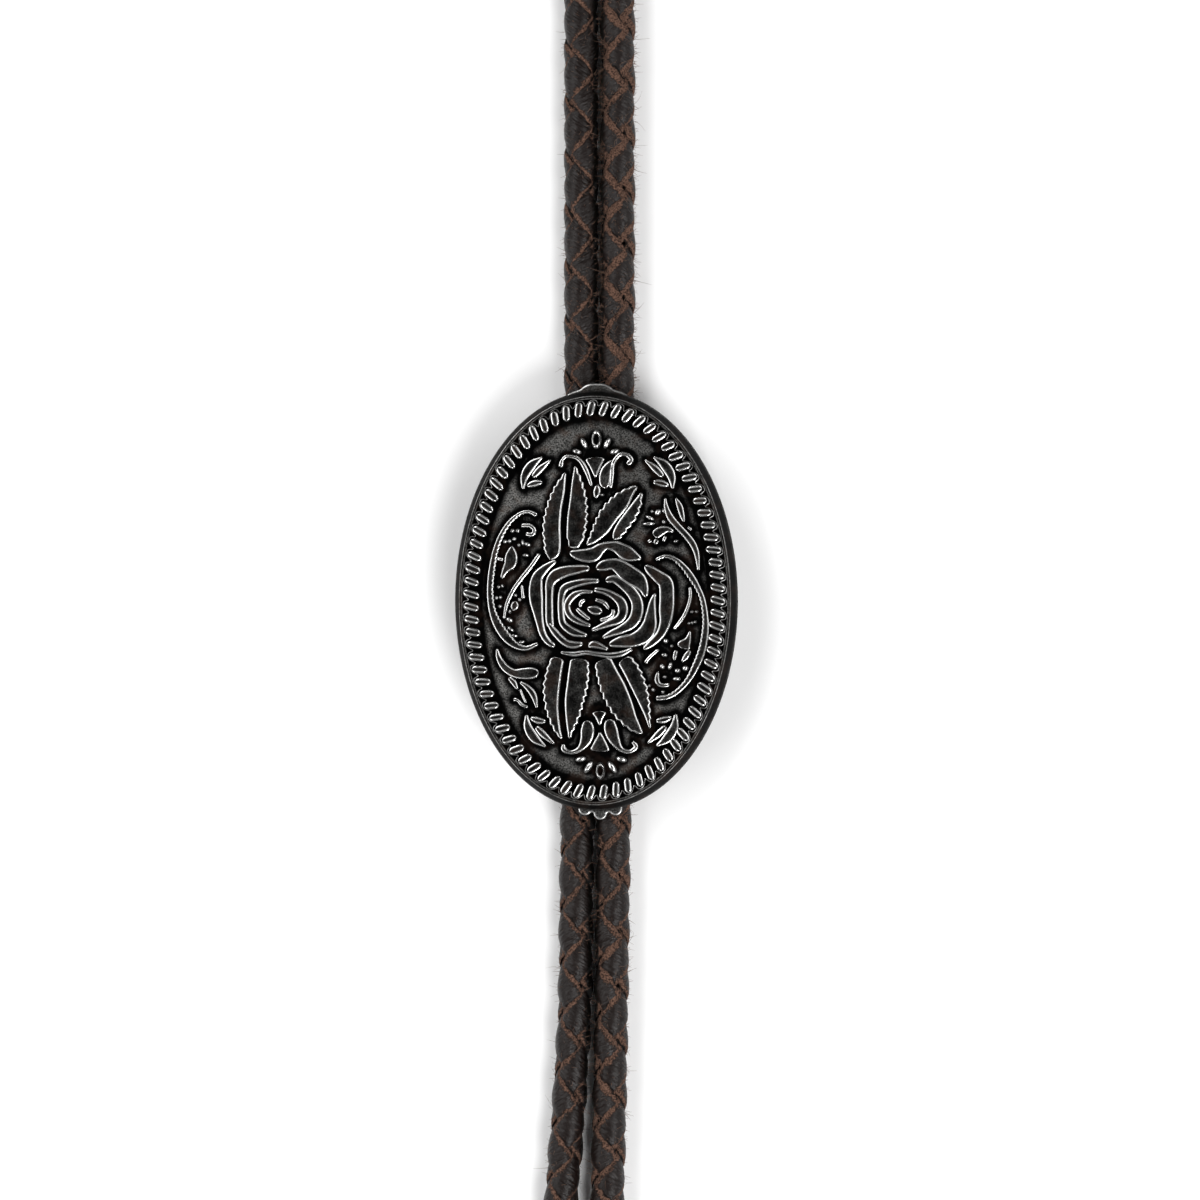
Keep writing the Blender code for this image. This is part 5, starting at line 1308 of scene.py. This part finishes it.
class BOLO_OT_slide(bpy.types.Operator):
    """Cast the oval slide with its rope border, rose, leaves, sprays and scrolls"""
    bl_idname = "bolo.slide"
    bl_label = "Cast slide"

    def execute(self, context):
        s = settings("slide")
        groups, marks = ornament(s.relief_rise)
        groups = {"body": [slide_plate(marks)], "rope": rope_bodies(s.rope_rise) + [rope_ridge()],
                  **groups}
        for group, bodies in groups.items():
            points, polygons, floats = gather(bodies)
            made = build_object("concho_" + group, points, polygons, "antiqued_cast_silver",
                                floats=floats, sharp=75)
            dress(made, "slide", "concho")
        return {"FINISHED"}


class BOLO_OT_clip(bpy.types.Operator):
    """Bend the back clip, with its humped and lobed ends"""
    bl_idname = "bolo.clip"
    bl_label = "Back clip"

    def execute(self, context):
        strip = build_object("back_clip", *clip_strip(), "plated_steel_strip", sharp=40)
        points, polygons, floats = clip_tabs()
        ends = build_object("clip_ends", points, polygons, "antiqued_cast_silver",
                            floats=floats, sharp=40)
        dress(strip, "slide", "slide_clip")
        dress(ends, "slide", "slide_clip")
        return {"FINISHED"}


def area_light(name, place, size, power):
    """A square white light at place that points at the origin with its X level."""
    light = bpy.data.lights.new(name, "AREA")
    light.size = size
    light.energy = power
    made = bpy.data.objects.new(name, light)
    x, y, z = place
    made.location = place
    made.rotation_euler = (math.atan2(math.hypot(x, y), z), 0.0, math.atan2(-y, -x) - math.pi / 2)
    bpy.context.scene.collection.objects.link(made)


class BOLO_OT_stage(bpy.types.Operator):
    """Lay the floor, and set the camera and lights"""
    bl_idname = "bolo.stage"
    bl_label = "Stage"

    def execute(self, context):
        s = settings("stage")
        scene = context.scene
        optics = bpy.data.cameras.new("camera")
        optics.lens = s.lens_mm
        optics.sensor_width = SENSOR_WIDTH_MM
        optics.clip_start = 0.01
        optics.clip_end = 20.0
        camera = bpy.data.objects.new("camera", optics)
        distance = s.view_width * s.lens_mm / SENSOR_WIDTH_MM
        tilt = s.camera_tilt
        camera.location = CAMERA_AIM + distance * np.array([math.sin(tilt), 0.0, math.cos(tilt)])
        camera.rotation_euler = (0.0, tilt, 0.0)
        scene.collection.objects.link(camera)
        scene.camera = camera
        tree, shader = new_material("floor_paper", Roughness=0.9)
        # White paper, a shade darker in soft patches 60 mm apart.
        tone = noise(tree, coordinates(tree), 60.0)
        feed(tree, shader, Base_Color=mix_colour(tree, tone, s.floor_colour, "#f6f6f6"))
        corners = FLOOR_HALF * np.array([(-1, -1, 0), (1, -1, 0), (1, 1, 0), (-1, 1, 0)])
        floor = build_object("floor", corners, [np.array([[0, 1, 2, 3]])], "floor_paper")
        area_light("key", *KEY_LIGHT, s.key_power)
        for name, (place, size, power) in FILL_LIGHTS.items():
            area_light(name, place, size, power)
        world = bpy.data.worlds.new("studio")
        world.use_nodes = True
        sky = world.node_tree.nodes["Background"].inputs
        sky["Color"].default_value = (1, 1, 1, 1)
        sky["Strength"].default_value = WORLD_STRENGTH
        scene.world = world
        scene.view_settings.view_transform = "Standard"
        return {"FINISHED"}


OPERATORS = (BOLO_OT_stage, BOLO_OT_materials, BOLO_OT_tips, BOLO_OT_cord, BOLO_OT_slide,
             BOLO_OT_clip)
GROUPS = {"slide": BOLO_PG_slide, "cord": BOLO_PG_cord, "metal": BOLO_PG_metal,
          "stage": BOLO_PG_stage}


class BOLO_PT_panel(bpy.types.Panel):
    bl_label = "Bolo tie"
    bl_idname = "BOLO_PT_panel"
    bl_space_type = "VIEW_3D"
    bl_region_type = "UI"
    bl_category = "Bolo tie"

    def draw(self, context):
        for kind in OPERATORS:
            self.layout.operator(kind.bl_idname)


def register():
    for kind in (*GROUPS.values(), *OPERATORS, BOLO_PT_panel):
        bpy.utils.register_class(kind)
    for name, kind in GROUPS.items():
        setattr(bpy.types.Scene, "bolo_" + name, bpy.props.PointerProperty(type=kind))


def unregister():
    for name in GROUPS:
        delattr(bpy.types.Scene, "bolo_" + name)
    for kind in (BOLO_PT_panel, *reversed(OPERATORS), *reversed(GROUPS.values())):
        bpy.utils.unregister_class(kind)


def main():
    register()
    for kind in OPERATORS:
        group, name = kind.bl_idname.split(".")
        getattr(getattr(bpy.ops, group), name)()


if __name__ == "__main__":
    main()
